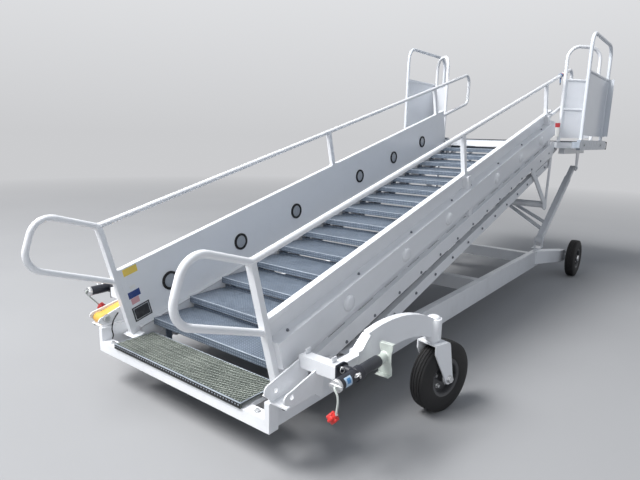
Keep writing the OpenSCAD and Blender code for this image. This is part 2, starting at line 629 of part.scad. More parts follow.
// Platform
platform_y = slope_y([platform_pin, 0]);
platform_z = slope_z([platform_pin, 0]);
deck_t = 8;
fascia_h = 80;
frame_top = deck_z - deck_t;
fascia_low = deck_z + 10 - fascia_h;
under_h = 60;
nose_y = platform_y - 65;
nose_half = 565;
wing_y = platform_y + 45;
corner_in = 655;
chamfer = deck_half - corner_in;
bracket_x = [547, 567];
strut_pin = [5400, 1180];
strut_bracket_x = [strut_x + strut_side / 2 + run_gap, strut_x + strut_side / 2 + run_gap + 10];
function deck_outline(inset) = [
    [-nose_half, nose_y], [nose_half, nose_y], [nose_half, wing_y], [corner_in, wing_y],
    [deck_half - inset, wing_y + chamfer - inset], [deck_half - inset, deck_rear],
    [-deck_half + inset, deck_rear], [-deck_half + inset, wing_y + chamfer - inset],
    [-corner_in, wing_y], [-nose_half, wing_y]];
module platform_frame() color(white) {
    wall = 6;
    // Front member, fascias and rear member round the floor
    block([-nose_half, nose_y, frame_top - 64], [nose_half, nose_y + 60, frame_top]);
    block([-deck_half, deck_rear - 60, fascia_low], [deck_half, deck_rear, frame_top]);
    for (side = SIDES) at_side(side) {
        block([deck_half - wall, wing_y + chamfer, fascia_low], [deck_half, deck_rear - 60, frame_top]);
        block([nose_half - 40, wing_y, fascia_low], [corner_in, wing_y + wall, frame_top]);
        block([nose_half - 6, nose_y + 60, frame_top - 64], [nose_half, wing_y, frame_top]);
        translate([corner_in, wing_y, fascia_low]) rotate(45)
            cube([chamfer * sqrt(2), wall, frame_top - fascia_low]);
        // Floor bearers along and across
        block([bracket_x[0] - 20, wing_y + wall, frame_top - 62], [bracket_x[1], deck_rear - 60, frame_top]);
        block([corner_in, wing_y + 100, fascia_low - under_h], [corner_in + 60, deck_rear - 60, fascia_low]);
        block([bracket_x[1], wing_y + 180, frame_top - 62], [deck_half - wall, wing_y + 230, frame_top]);
        block([bracket_x[1], deck_rear - 460, frame_top - 62], [deck_half - wall, deck_rear - 410, frame_top]);
        // Hinge plate with both pins and its brace back to the floor bearers
        upright(bracket_x[0], bracket_x[1] - bracket_x[0]) {
            link_shape([platform_y, platform_z], [platform_y, platform_z - link_gap], 52);
            translate([platform_y - 26, platform_z]) square([52, frame_top - 64 - platform_z + 64 - 10]);
            link_shape([platform_y + 6, platform_z - link_gap + 8], [platform_y + 420, frame_top - 70], 36);
        }
        cross_bar(bracket_x[1], stringer_out, platform_y, platform_z, pin_d);
        cross_bar(bracket_x[1], rail_out, platform_y, platform_z - link_gap, pin_d);
        // Strut bracket with its stub pin, and the cross head that carries it
        upright(strut_bracket_x[0], strut_bracket_x[1] - strut_bracket_x[0]) {
            translate(strut_pin) circle(r = 35, $fn = 48);
            polygon([[strut_pin[0] - 35, strut_pin[1]], [strut_pin[0] + 35, strut_pin[1]],
                     [strut_pin[0] + 70, fascia_low - under_h], [strut_pin[0] - 70, fascia_low - under_h]]);
        }
        cross_bar(strut_x + strut_side / 2 + 1, strut_bracket_x[0], strut_pin[0], strut_pin[1], pin_d + 8);
        cross_bar(strut_bracket_x[1], strut_bracket_x[1] + 12, strut_pin[0], strut_pin[1], 34);
        // Rollers that carry the sliding guard's rail
        for (y = roller_y) {
            cross_bar(deck_half, slide_web, y, slide_z, roller_d);
        }
    }
    for (y = [wing_y + 180, deck_rear - 460])
        block([-bracket_x[0] + 20, y, frame_top - 62], [bracket_x[0] - 20, y + 50, frame_top]);
}

module platform_deck() color("gray") translate([0, 0, frame_top]) linear_extrude(deck_t)
    polygon(deck_outline(0));

module rear_bumper() color("black") difference() {
    block([-deck_half, deck_rear, fascia_low - 10], [deck_half, part_rear, deck_z + 10]);
    for (z = [fascia_low + 24, deck_z - 14])
        cross_bar(-deck_half - 11, deck_half + 11, part_rear - bumper_t / 2, z, 18);
}

// Corner guard: tube bow across the cut corner, with an infill panel in its lower part
module corner_guard(side) color(white) at_side(side) {
    inset = 22;
    span = chamfer * sqrt(2) - 30;
    panel_top = deck_z + 630;
    translate([corner_in + 2, wing_y + inset + 12, 0]) rotate(45) rotate([90, 0, 0]) {
        bent_tube([[0, deck_z], [0, guard_top - guard_d / 2], [span, guard_top - guard_d / 2], [span, deck_z]],
                  [0, 130, 130, 0], guard_d);
        for (z = [deck_z + 332, panel_top])
            bent_tube([[0, z], [span, z]], [0, 0], guard_d - 10);
        translate([0, deck_z + 40, -3]) linear_extrude(6) square([span, panel_top - deck_z - 40]);
    }
}

// Sliding guard: bow and panel on a channel that runs over the platform's rollers
slide_z = 1460;
slide_h = 96;
slide_web = deck_half + 32;
slide_out = slide_web + 8;
slide_y = [4000, 5270];
guard_plane = slide_out - 16;
bow_y = [4067, 5033];
roller_y = [4830, 5230];
roller_d = slide_h - 12 - 1;
module sliding_guard(side) color("lightgray") at_side(side) {
    difference() {
        block([deck_half + 6, slide_y[0], slide_z - slide_h / 2], [slide_out, slide_y[1], slide_z + slide_h / 2]);
        block([deck_half + 5, slide_y[0] + 6, slide_z - slide_h / 2 + 6],
              [slide_web + 1, slide_y[1] + 1, slide_z + slide_h / 2 - 6]);
    }
    translate([guard_plane, 0, 0]) rotate([90, 0, 90]) {
        bent_tube([[bow_y[0], slide_z + slide_h / 2], [bow_y[0], slide_top - guard_d / 2],
                   [bow_y[1], slide_top - guard_d / 2], [bow_y[1], slide_z + slide_h / 2]],
                  [0, 130, 130, 0], guard_d);
        bent_tube([[bow_y[0], deck_z + 660], [bow_y[1], deck_z + 660]], [0, 0], guard_d - 4);
    }
    upright(guard_plane - 3, 6)
        translate([bow_y[0], deck_z + 60]) square([bow_y[1] + 26 - bow_y[0], 612]);
    block([guard_plane - 3, bow_y[1] + 22, deck_z + 66], [guard_plane + 62, bow_y[1] + 26, deck_z + 672]);
    block([guard_plane - 3, bow_y[0], deck_z + 60], [guard_plane + 30, bow_y[1] + 26, deck_z + 64]);
    color(zinc) block([deck_half - 30, slide_y[0] - 30, slide_z - 30],
                      [slide_out, slide_y[0], slide_z + 30]);
}

// Struts: outer tubes with their cross bracing, and the inner tubes that slide out
strut_heading = heading(strut_pin - strut_foot);
strut_len = norm(strut_pin - strut_foot);
outer_len = 1150;
inner_start = 150;
strut_wall = 5;
module on_strut() translate([0, strut_foot[0], strut_foot[1]]) rotate([strut_heading, 0, 0]) children();
module strut_frame() color(white) on_strut() {
    h = strut_side / 2;
    for (side = SIDES) at_side(side) difference() {
        union() {
            block([strut_x - h, 0, -h], [strut_x + h, outer_len, h]);
            cross_bar(strut_x - h, strut_x + h, 0, 0, strut_side);
        }
        block([strut_x - h + strut_wall, 60, -h + strut_wall],
              [strut_x + h - strut_wall, outer_len + 1, h - strut_wall]);
        cross_bar(strut_x - h - 1, strut_x + h + 1, 0, 0, bore_d);
    }
    inner = strut_x - h;
    // Flat braces, one above the other: corner to corner, and from high up to a quarter of the height
    intersection() {
        union() {
            brace(180, inner, outer_len - 60, -inner, 4);
            brace(outer_len * 0.27, inner, outer_len - 60, -inner, -12);
        }
        block([-inner - 2, 0, -h], [inner + 2, outer_len, h]);
    }
}
// A flat brace from the left strut at u0 to the right strut at u1, or the other way for a negative x
module brace(u0, x0, u1, x1, w) translate([x0, u0, w])
    rotate(heading([x1 - x0, u1 - u0])) translate([0, -20, 0]) cube([norm([x1 - x0, u1 - u0]), 40, 8]);

module strut_rods() color(white) on_strut() {
    h = strut_side / 2 - strut_wall - 0.5;
    for (side = SIDES) at_side(side) {
        block([strut_x - h, inner_start, -h], [strut_x + h, strut_len - 20, h]);
        cross_bar(strut_x - strut_side / 2 + 6, strut_x + strut_side / 2, strut_len, 0, 2 * h + 8);
    }
}

// Lift cylinder from the middle cross member to the hanger's cross tube
ram_y = slope_y(ram_lug);
ram_z = slope_z(ram_lug);
ram_heading = heading([ram_y, ram_z] - cylinder_foot);
ram_len = norm([ram_y, ram_z] - cylinder_foot);
barrel_d = 100;
rod_d = 56;
barrel_len = 1250;
module on_ram() translate([0, cylinder_foot[0], cylinder_foot[1]]) rotate([ram_heading, 0, 0]) children();
module cylinder_barrel() color("dimgray") on_ram() difference() {
    union() {
        cross_bar(-lug_gap / 2 + 4, lug_gap / 2 - 4, 0, 0, 66);
        translate([0, 20, 0]) rotate([-90, 0, 0]) cylinder(h = 60, d = 60, $fn = 48);
        translate([0, 60, 0]) rotate([-90, 0, 0]) cylinder(h = barrel_len - 60, d = barrel_d, $fn = 48);
        translate([0, barrel_len - 70, 0]) rotate([-90, 0, 0]) cylinder(h = 70, d = barrel_d + 16, $fn = 48);
    }
    cross_bar(-lug_gap, lug_gap, 0, 0, pin_d + 8 + pin_play);
    translate([0, 90, 0]) rotate([-90, 0, 0]) cylinder(h = barrel_len, d = rod_d + 1, $fn = 48);
}
module cylinder_rod() color(zinc) on_ram() {
    translate([0, 180, 0]) rotate([-90, 0, 0]) cylinder(h = ram_len - 180 - 24, d = rod_d, $fn = 48);
    cross_bar(-27, 27, ram_len, 0, 60);
}

// A piece moved to the part's own origin
module placed() translate([0, -mid_y, 0]) children();

placed() {
    base_frame();
    landing_grating();
    chassis_beams();
    cross_members();
    tow_bar();
    hanger_frame();
    step_lights();
    platform_frame();
    platform_deck();
    rear_bumper();
    strut_frame();
    strut_rods();
    cylinder_barrel();
    cylinder_rod();
    for (side = SIDES) {
        hitch_bracket(side);
        front_arm(side);
        rear_arm(side);
        caster_fork(side);
        at_front_wheel(side) tyre();
        at_front_wheel(side) rim();
        at_rear_wheel(side) tyre();
        at_rear_wheel(side) rim();
        jack_tube(side);
        jack_foot(side);
        stringer(side);
        handrail(side);
        lower_rail(side);
        corner_guard(side);
        sliding_guard(side);
    }
    for (i = [0 : step_count - 1])
        step(i);
}
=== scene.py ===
"""Towable passenger stairs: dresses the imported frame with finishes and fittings.

Sizes are in metres. A survey place is counted from the front face of the base beam, as in the part's
source, and the matrices of the Survey class move it into the frame.
"""

from __future__ import annotations

import json
import logging
import math
import re
from dataclasses import dataclass, field
from enum import Enum
from typing import Any, Iterable, Sequence

import bmesh
import bpy
from mathutils import Matrix, Vector

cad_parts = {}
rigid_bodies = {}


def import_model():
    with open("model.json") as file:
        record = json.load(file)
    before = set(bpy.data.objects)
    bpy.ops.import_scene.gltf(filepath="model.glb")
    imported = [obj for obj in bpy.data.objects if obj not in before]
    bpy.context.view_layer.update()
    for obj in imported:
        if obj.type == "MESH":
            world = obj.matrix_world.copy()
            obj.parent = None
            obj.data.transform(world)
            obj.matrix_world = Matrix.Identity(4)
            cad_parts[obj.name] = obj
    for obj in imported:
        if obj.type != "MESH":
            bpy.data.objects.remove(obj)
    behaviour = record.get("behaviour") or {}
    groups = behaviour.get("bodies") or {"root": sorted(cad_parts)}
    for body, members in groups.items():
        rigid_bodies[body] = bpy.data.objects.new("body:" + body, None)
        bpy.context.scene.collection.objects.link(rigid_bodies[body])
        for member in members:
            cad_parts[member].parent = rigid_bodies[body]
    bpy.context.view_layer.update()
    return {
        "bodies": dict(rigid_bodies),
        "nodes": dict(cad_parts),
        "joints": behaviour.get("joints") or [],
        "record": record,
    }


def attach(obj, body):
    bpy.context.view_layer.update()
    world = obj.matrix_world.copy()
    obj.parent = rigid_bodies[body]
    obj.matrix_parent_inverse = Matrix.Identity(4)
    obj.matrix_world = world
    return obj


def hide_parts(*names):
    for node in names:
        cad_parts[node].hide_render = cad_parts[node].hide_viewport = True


log = logging.getLogger("stairs")

Point = Sequence[float]
Outline = Sequence[tuple[float, float]]
Colour = tuple[float, float, float]
Socket = bpy.types.NodeSocket

ALONG_X = (1.0, 0.0, 0.0)
ALONG_Y = (0.0, 1.0, 0.0)
ALONG_Z = (0.0, 0.0, 1.0)
ORIGIN = (0.0, 0.0, 0.0)


class Side(Enum):
    """Side of the machine, with the sign of its x."""

    RIGHT = 1
    LEFT = -1

    @property
    def label(self) -> str:
        """The side's name as the nodes and bodies spell it."""
        return self.name.lower()

    @property
    def mirror(self) -> Matrix:
        """Mirror in x for the left side, nothing for the right."""
        return Matrix.Diagonal((float(self.value), 1.0, 1.0, 1.0))


class Slot(Enum):
    """Material slots of the record, which the looks keep."""

    WHITE = "white_paint"
    GALVANISED = "galvanised"
    GREY = "grey_panel"
    TYRE = "tyre_rubber"
    RIM = "rim_grey"
    BLACK = "black_paint"
    ZINC = "zinc"
    CHROME = "chrome_rod"
    YELLOW = "yellow_paint"
    RUBBER = "black_rubber"
    LIGHT = "light_housing"


@dataclass(frozen=True)
class Survey:
    """Main places of the machine, as the part's source has them."""

    middle_y: float = 2.587879
    slope: float = math.radians(14.87)
    hinge_y: float = 0.420
    hinge_z: float = 0.3615
    link_gap: float = 0.145
    step_pitch: float = 0.284
    first_pin: float = -0.057
    step_count: int = 15
    platform_pin: float = 4.118
    tyre_r: float = 0.203
    front_wheel: tuple[float, float] = (1.008, 1.033)
    rear_wheel: tuple[float, float] = (0.881, 4.785)
    caster_yaw: float = math.radians(14.3)
    caster_trail: float = 0.083
    light_w: float = 0.196
    lights_right: tuple[float, ...] = (0.280, 0.895, 1.500, 2.415, 3.010, 3.600)
    lights_left: tuple[float, ...] = (0.060, 0.690, 1.320, 2.255, 2.885, 3.510)

    def base(self) -> Matrix:
        """Matrix from survey places to the frame."""
        return Matrix.Translation((0.0, -self.middle_y, 0.0))

    def flight(self) -> Matrix:
        """Matrix from (across, along the slope, square to it) to the frame."""
        move = Matrix.Translation((0.0, self.hinge_y - self.middle_y, self.hinge_z))
        return move @ Matrix.Rotation(self.slope, 4, "X")

    def rail(self) -> Matrix:
        """The same as flight(), counted from the lower rails' hinge."""
        return Matrix.Translation((0.0, 0.0, -self.link_gap)) @ self.flight()

    def step_u(self, index: int) -> float:
        """Place of a step's pin along the slope."""
        return self.first_pin + index * self.step_pitch

    def step(self, index: int) -> Matrix:
        """Matrix of a level step, counted from its pin.

        Args:
            index: The step's number, from 0 at the foot.

        Returns:
            The matrix from the step's own coordinates to the frame.
        """
        u = self.step_u(index)
        pin = (0.0, self.hinge_y + u * math.cos(self.slope), self.hinge_z + u * math.sin(self.slope))
        return self.base() @ Matrix.Translation(pin)

    def caster(self) -> Matrix:
        """Places the right caster.

        Returns:
            The matrix to the frame, with the kingpin on the z axis and the wheel behind it.
        """
        x, y = self.front_wheel
        pin = (x - self.caster_trail * math.sin(self.caster_yaw),
               y - self.caster_trail * math.cos(self.caster_yaw), 0.0)
        return self.base() @ Matrix.Translation(pin) @ Matrix.Rotation(-self.caster_yaw, 4, "Z")

    def front_axle(self) -> Matrix:
        """Matrix of the right front wheel, with its axle on the x axis."""
        return self.caster() @ Matrix.Translation((0.0, self.caster_trail, self.tyre_r))

    def rear_axle(self) -> Matrix:
        """Matrix of the right rear wheel, with its axle on the x axis."""
        return self.base() @ Matrix.Translation((*self.rear_wheel, self.tyre_r))

    def lights(self, side: Side) -> tuple[float, ...]:
        """Places of the step lights along the slope, on one side."""
        return self.lights_right if side is Side.RIGHT else self.lights_left


SURVEY = Survey()


def turns(count: int) -> list[float]:
    """Angles that part a full turn evenly."""
    return [math.tau * k / count for k in range(count)]


def spread(low: float, high: float, pitch: float) -> list[float]:
    """Evenly spread values from low to high, about pitch apart."""
    count = max(1, round((high - low) / pitch))
    return [low + (high - low) * i / count for i in range(count + 1)]


def smooth_path(knots: Sequence[Vector], steps: int = 6) -> list[Vector]:
    """Points of a smooth curve through knots.

    Args:
        knots: Places the curve passes.
        steps: Points from one knot to the next.

    Returns:
        The curve's points, with both ends.
    """
    path = []
    last = len(knots) - 1
    for i in range(last):
        before, start, end, after = (knots[max(i - 1, 0)], knots[i], knots[i + 1], knots[min(i + 2, last)])
        for k in range(steps):
            t = k / steps
            path.append(0.5 * (2 * start + (end - before) * t
                               + (2 * before - 5 * start + 4 * end - after) * t ** 2
                               + (3 * start - before - 3 * end + after) * t ** 3))
    path.append(knots[last].copy())
    return path


class Graph:
    """Short hand for one node tree."""

    def __init__(self, tree: bpy.types.NodeTree) -> None:
        """Keeps the tree that the nodes go into."""
        self.tree = tree

    def add(self, kind: str, inputs: dict[Any, Any] | None = None, **settings: Any) -> bpy.types.Node:
        """Adds a node.

        Args:
            kind: The node's type name.
            inputs: Values or sockets for its inputs, by name or number.
            **settings: Properties of the node.

        Returns:
            The new node.
        """
        node = self.tree.nodes.new(kind)
        for key, value in settings.items():
            setattr(node, key, value)
        for key, value in (inputs or {}).items():
            socket = node.inputs[key]
            if isinstance(value, Socket):
                self.tree.links.new(value, socket)
            elif socket.type == "RGBA":
                socket.default_value = (*value, 1.0)
            else:
                socket.default_value = value
        return node

    def math(self, operation: str, *values: Any) -> Socket:
        """Adds a Math node and returns its output."""
        return self.add("ShaderNodeMath", dict(enumerate(values)), operation=operation).outputs[0]

    def mix(self, factor: Any, first: Any, second: Any) -> Socket:
        """Mixes two colours."""
        return self.add("ShaderNodeMix", {0: factor, 6: first, 7: second}, data_type="RGBA").outputs[2]


class Nodes(Graph):
    """Short hand for the node tree of one material."""

    def __init__(self, name: str) -> None:
        """Starts an empty node material.

        Args:
            name: Name of the material.
        """
        self.material = bpy.data.materials.new(name)
        self.material.use_nodes = True
        super().__init__(self.material.node_tree)
        self.tree.nodes.clear()

    def objects(self) -> Socket:
        """Object coordinates."""
        return self.add("ShaderNodeTexCoord").outputs["Object"]

    def axes(self) -> bpy.types.bpy_prop_collection:
        """Object coordinates, split into X, Y and Z."""
        return self.add("ShaderNodeSeparateXYZ", {0: self.objects()}).outputs

    def noise(self, scale: float, detail: float = 3.0, stretch: Point = (1.0, 1.0, 1.0)) -> Socket:
        """Noise on Object coordinates.

        Args:
            scale: Scale of the noise.
            detail: Its detail.
            stretch: Scale of the coordinates before the noise.

        Returns:
            The noise's factor.
        """
        placed = self.add("ShaderNodeMapping", {"Vector": self.objects(), "Scale": stretch})
        inputs = {"Vector": placed.outputs[0], "Scale": scale, "Detail": detail}
        return self.add("ShaderNodeTexNoise", inputs).outputs["Fac"]

    def ramp(self, value: Socket, low: float, high: float, to_low: float = 0.0,
             to_high: float = 1.0) -> Socket:
        """Maps a value from one range to another, clamped."""
        inputs = {0: value, 1: low, 2: high, 3: to_low, 4: to_high}
        return self.add("ShaderNodeMapRange", inputs).outputs[0]

    def bump(self, height: Socket, strength: float, distance: float, normal: Socket | None = None) -> Socket:
        """Adds a bump.

        Args:
            height: The height that it follows.
            strength: Its strength.
            distance: Its depth in metres.
            normal: The normal under it.

        Returns:
            The bumped normal.
        """
        inputs: dict[str, Any] = {"Height": height, "Strength": strength, "Distance": distance}
        if normal is not None:
            inputs["Normal"] = normal
        return self.add("ShaderNodeBump", inputs).outputs[0]

    def rounded(self, radius: float) -> Socket:
        """Normal that rounds the hard edges of a plate."""
        return self.add("ShaderNodeBevel", {"Radius": radius}, samples=4).outputs[0]

    def close(self, **inputs: Any) -> None:
        """Ends the material in a Principled shader; inputs are named with _ for a space."""
        named = {key.replace("_", " "): value for key, value in inputs.items()}
        shader = self.add("ShaderNodeBsdfPrincipled", named)
        self.add("ShaderNodeOutputMaterial", {"Surface": shader.outputs[0]})


@dataclass(frozen=True)
class Finish:
    """A finish by its name; each kind says how it is shaded."""

    name: str

    def shade(self, n: Nodes) -> None:
        """Fills the material's nodes."""
        raise NotImplementedError

    def make(self) -> bpy.types.Material:
        """Builds the material.

        Returns:
            The material of this finish.
        """
        n = Nodes(self.name)
        self.shade(n)
        return n.material


@dataclass(frozen=True)
class Paint(Finish):
    """Sprayed gloss paint with orange peel, faint runs and dust that gathers low down."""

    colour: Colour
    dirt: Colour = (0.36, 0.34, 0.31)
    roughness: float = 0.30
    coat: float = 0.35
    grime: float = 0.16
    edge: float = 0.002
    zinc_below: float = 0.0
    zinc_dark: Colour = (0.27, 0.31, 0.36)
    zinc_light: Colour = (0.43, 0.47, 0.53)

    def shade(self, n: Nodes) -> None:
        """Fills the nodes: paint, dust and runs over it, and bare zinc under the height zinc_below.

        Args:
            n: The material's nodes.
        """
        tone = n.ramp(n.noise(1.7, 2.0), 0.3, 0.7, 0.955, 1.0)
        deep = tuple(c * 0.93 for c in self.colour)
        paint = n.mix(tone, deep, self.colour)
        low = n.ramp(n.axes()["Z"], 0.15, 0.75, 1.0, 0.25)
        patches = n.ramp(n.noise(7.0, 6.0), 0.52, 0.78)
        runs = n.ramp(n.noise(2.2, 5.0, (11.0, 11.0, 1.2)), 0.56, 0.80, 0.0, 0.6)
        dust = n.math("MULTIPLY", n.math("MAXIMUM", patches, runs), low)
        dust = n.math("MULTIPLY", dust, self.grime)
        colour = n.mix(dust, paint, self.dirt)
        if self.zinc_below:
            zinc = n.mix(n.ramp(n.noise(30.0, 4.0), 0.3, 0.7), self.zinc_dark, self.zinc_light)
            painted = n.ramp(n.axes()["Z"], self.zinc_below - 0.001, self.zinc_below + 0.001)
            colour = n.mix(painted, zinc, colour)
        rough = n.math("ADD", n.math("MULTIPLY", dust, 0.4), self.roughness)
        peel = n.bump(n.noise(260.0, 2.0), 0.06, 0.001, n.rounded(self.edge))
        n.close(Base_Color=colour, Roughness=rough, Normal=peel, Coat_Weight=self.coat, Coat_Roughness=0.12)


@dataclass(frozen=True)
class Galvanised(Finish):
    """Hot-dip zinc: flat crystals of several greys, with stained patches over them."""

    light: Colour = (0.150, 0.186, 0.238)
    dark: Colour = (0.082, 0.106, 0.142)
    stain: Colour = (0.15, 0.16, 0.17)
    dots: float = 0.0
    dot_colour: Colour = (0.36, 0.405, 0.465)
    metallic: float = 0.30

    def shade(self, n: Nodes) -> None:
        """Fills the nodes: zinc, with rows of small raised dots where dots gives their pitch.

        Args:
            n: The material's nodes.
        """
        cells = n.add("ShaderNodeTexVoronoi", {"Vector": n.objects(), "Scale": 55.0})
        grey = n.add("ShaderNodeSeparateColor", {0: cells.outputs["Color"]}).outputs[0]
        cloud = n.ramp(n.noise(6.0, 4.0), 0.35, 0.7)
        blend = n.math("ADD", n.math("MULTIPLY", grey, 0.45), n.math("MULTIPLY", cloud, 0.55))
        colour = n.mix(blend, self.dark, self.light)
        stain = n.ramp(n.noise(3.1, 7.0), 0.58, 0.80, 0.0, 0.5)
        colour = n.mix(stain, colour, self.stain)
        rough = n.ramp(grey, 0.0, 1.0, 0.38, 0.62)
        normal = n.bump(n.noise(180.0, 3.0), 0.10, 0.001, n.rounded(0.0015))
        if self.dots:
            dots = self._dots(n)
            colour = n.mix(n.math("MULTIPLY", dots, 0.55), colour, self.dot_colour)
            normal = n.bump(dots, 0.8, 0.002, normal)
        n.close(Base_Color=colour, Roughness=rough, Metallic=self.metallic, Normal=normal)

    def _dots(self, n: Nodes) -> Socket:
        """Rows of round dots that run over the nosing without a break.

        Args:
            n: The material's nodes.

        Returns:
            1 on a dot and 0 beside it.
        """
        axes = n.axes()
        parts = []
        for axis in (axes["X"], n.math("ADD", axes["Y"], axes["Z"])):
            cell = n.math("FRACT", n.math("ADD", n.math("DIVIDE", axis, self.dots), 0.5))
            off = n.math("SUBTRACT", cell, 0.5)
            parts.append(n.math("MULTIPLY", off, off))
        return n.ramp(n.math("SQRT", n.math("ADD", *parts)), 0.34, 0.20)


@dataclass(frozen=True)
class Metal(Finish):
    """Bright metal of small parts: zinc plate, steel or chrome."""

    colour: Colour
    roughness: float = 0.32
    metallic: float = 1.0
    scratch: float = 0.3

    def shade(self, n: Nodes) -> None:
        """Fills the nodes: metal that is duller in patches.

        Args:
            n: The material's nodes.
        """
        wear = n.ramp(n.noise(38.0, 5.0), 0.35, 0.75)
        dull = tuple(c * 0.62 for c in self.colour)
        colour = n.mix(n.math("MULTIPLY", wear, self.scratch), self.colour, dull)
        rough = n.math("ADD", n.math("MULTIPLY", wear, 0.22), self.roughness)
        normal = n.bump(n.noise(420.0, 2.0), 0.05, 0.0005, n.rounded(0.001))
        n.close(Base_Color=colour, Roughness=rough, Metallic=self.metallic, Normal=normal)


@dataclass(frozen=True)
class Rubber(Finish):
    """Black rubber that has gone grey with dust."""

    colour: Colour = (0.008, 0.008, 0.009)
    dust: Colour = (0.17, 0.155, 0.135)
    dusty: float = 0.07
    sipes: int = 0
    cut_colour: Colour = (0.008, 0.008, 0.008)

    def shade(self, n: Nodes) -> None:
        """Fills the nodes: rubber, with that many sipes cut across the tread along the UV map.

        Args:
            n: The material's nodes.
        """
        cloud = n.ramp(n.noise(9.0, 6.0), 0.42, 0.78, 0.0, self.dusty)
        colour = n.mix(cloud, self.colour, self.dust)
        normal = n.bump(n.noise(240.0, 3.0), 0.18, 0.001)
        if self.sipes:
            uv = n.add("ShaderNodeTexCoord").outputs["UV"]
            axes = n.add("ShaderNodeSeparateXYZ", {0: uv}).outputs
            lean = n.math("MULTIPLY", n.math("SINE", n.math("MULTIPLY", axes["Y"], 160.0)), 0.18)
            around = n.math("MULTIPLY", axes["X"], float(self.sipes))
            cell = n.math("FRACT", n.math("ADD", around, lean))
            cut = n.ramp(n.math("ABSOLUTE", n.math("SUBTRACT", cell, 0.5)), 0.03, 0.07)
            on_wall = n.ramp(n.math("ABSOLUTE", n.math("SUBTRACT", axes["Y"], 0.5)), 0.30, 0.31)
            keep = n.math("MAXIMUM", cut, on_wall)
            colour = n.mix(keep, self.cut_colour, colour)
            normal = n.bump(keep, 0.9, 0.003, normal)
        n.close(Base_Color=colour, Roughness=0.78, Normal=normal)


@dataclass(frozen=True)
class Lens(Finish):
    """Frosted ribbed plastic of a step light."""

    dark: Colour = (0.28, 0.30, 0.33)
    light: Colour = (0.44, 0.46, 0.49)
    ribs: float = 900.0

    def shade(self, n: Nodes) -> None:
        """Fills the nodes: plastic with a fine grid of ribs.

        Args:
            n: The material's nodes.
        """
        axes = n.axes()
        across, upright = (n.math("SINE", n.math("MULTIPLY", axes[key], self.ribs)) for key in "YZ")
        grid = n.math("MULTIPLY", across, upright)
        colour = n.mix(n.ramp(grid, -1.0, 1.0), self.dark, self.light)
        n.close(Base_Color=colour, Roughness=0.22, Normal=n.bump(grid, 0.35, 0.001), Coat_Weight=0.6)


@dataclass(frozen=True)
class Decal(Finish):
    """Printed vinyl, blank, slightly faded."""

    colour: Colour
    roughness: float = 0.38

    def shade(self, n: Nodes) -> None:
        """Fills the nodes: vinyl that is paler in patches.

        Args:
            n: The material's nodes.
        """
        faded = tuple(min(1.0, c * 0.8 + 0.09) for c in self.colour)
        colour = n.mix(n.ramp(n.noise(24.0, 4.0), 0.45, 0.8, 0.0, 0.6), self.colour, faded)
        rough = n.ramp(n.noise(60.0, 2.0), 0.3, 0.7, self.roughness, self.roughness + 0.15)
        n.close(Base_Color=colour, Roughness=rough, Normal=n.bump(n.noise(90.0, 2.0), 0.04, 0.0005))


@dataclass(frozen=True)
class Look:
    """A finish's material, with a slot of the record kept beside it."""

    material: bpy.types.Material
    slot: Slot


def look(slot: Slot, finish: Finish) -> Any:
    """Field of a look whose material is made with the others."""
    return field(default_factory=lambda: Look(finish.make(), slot))


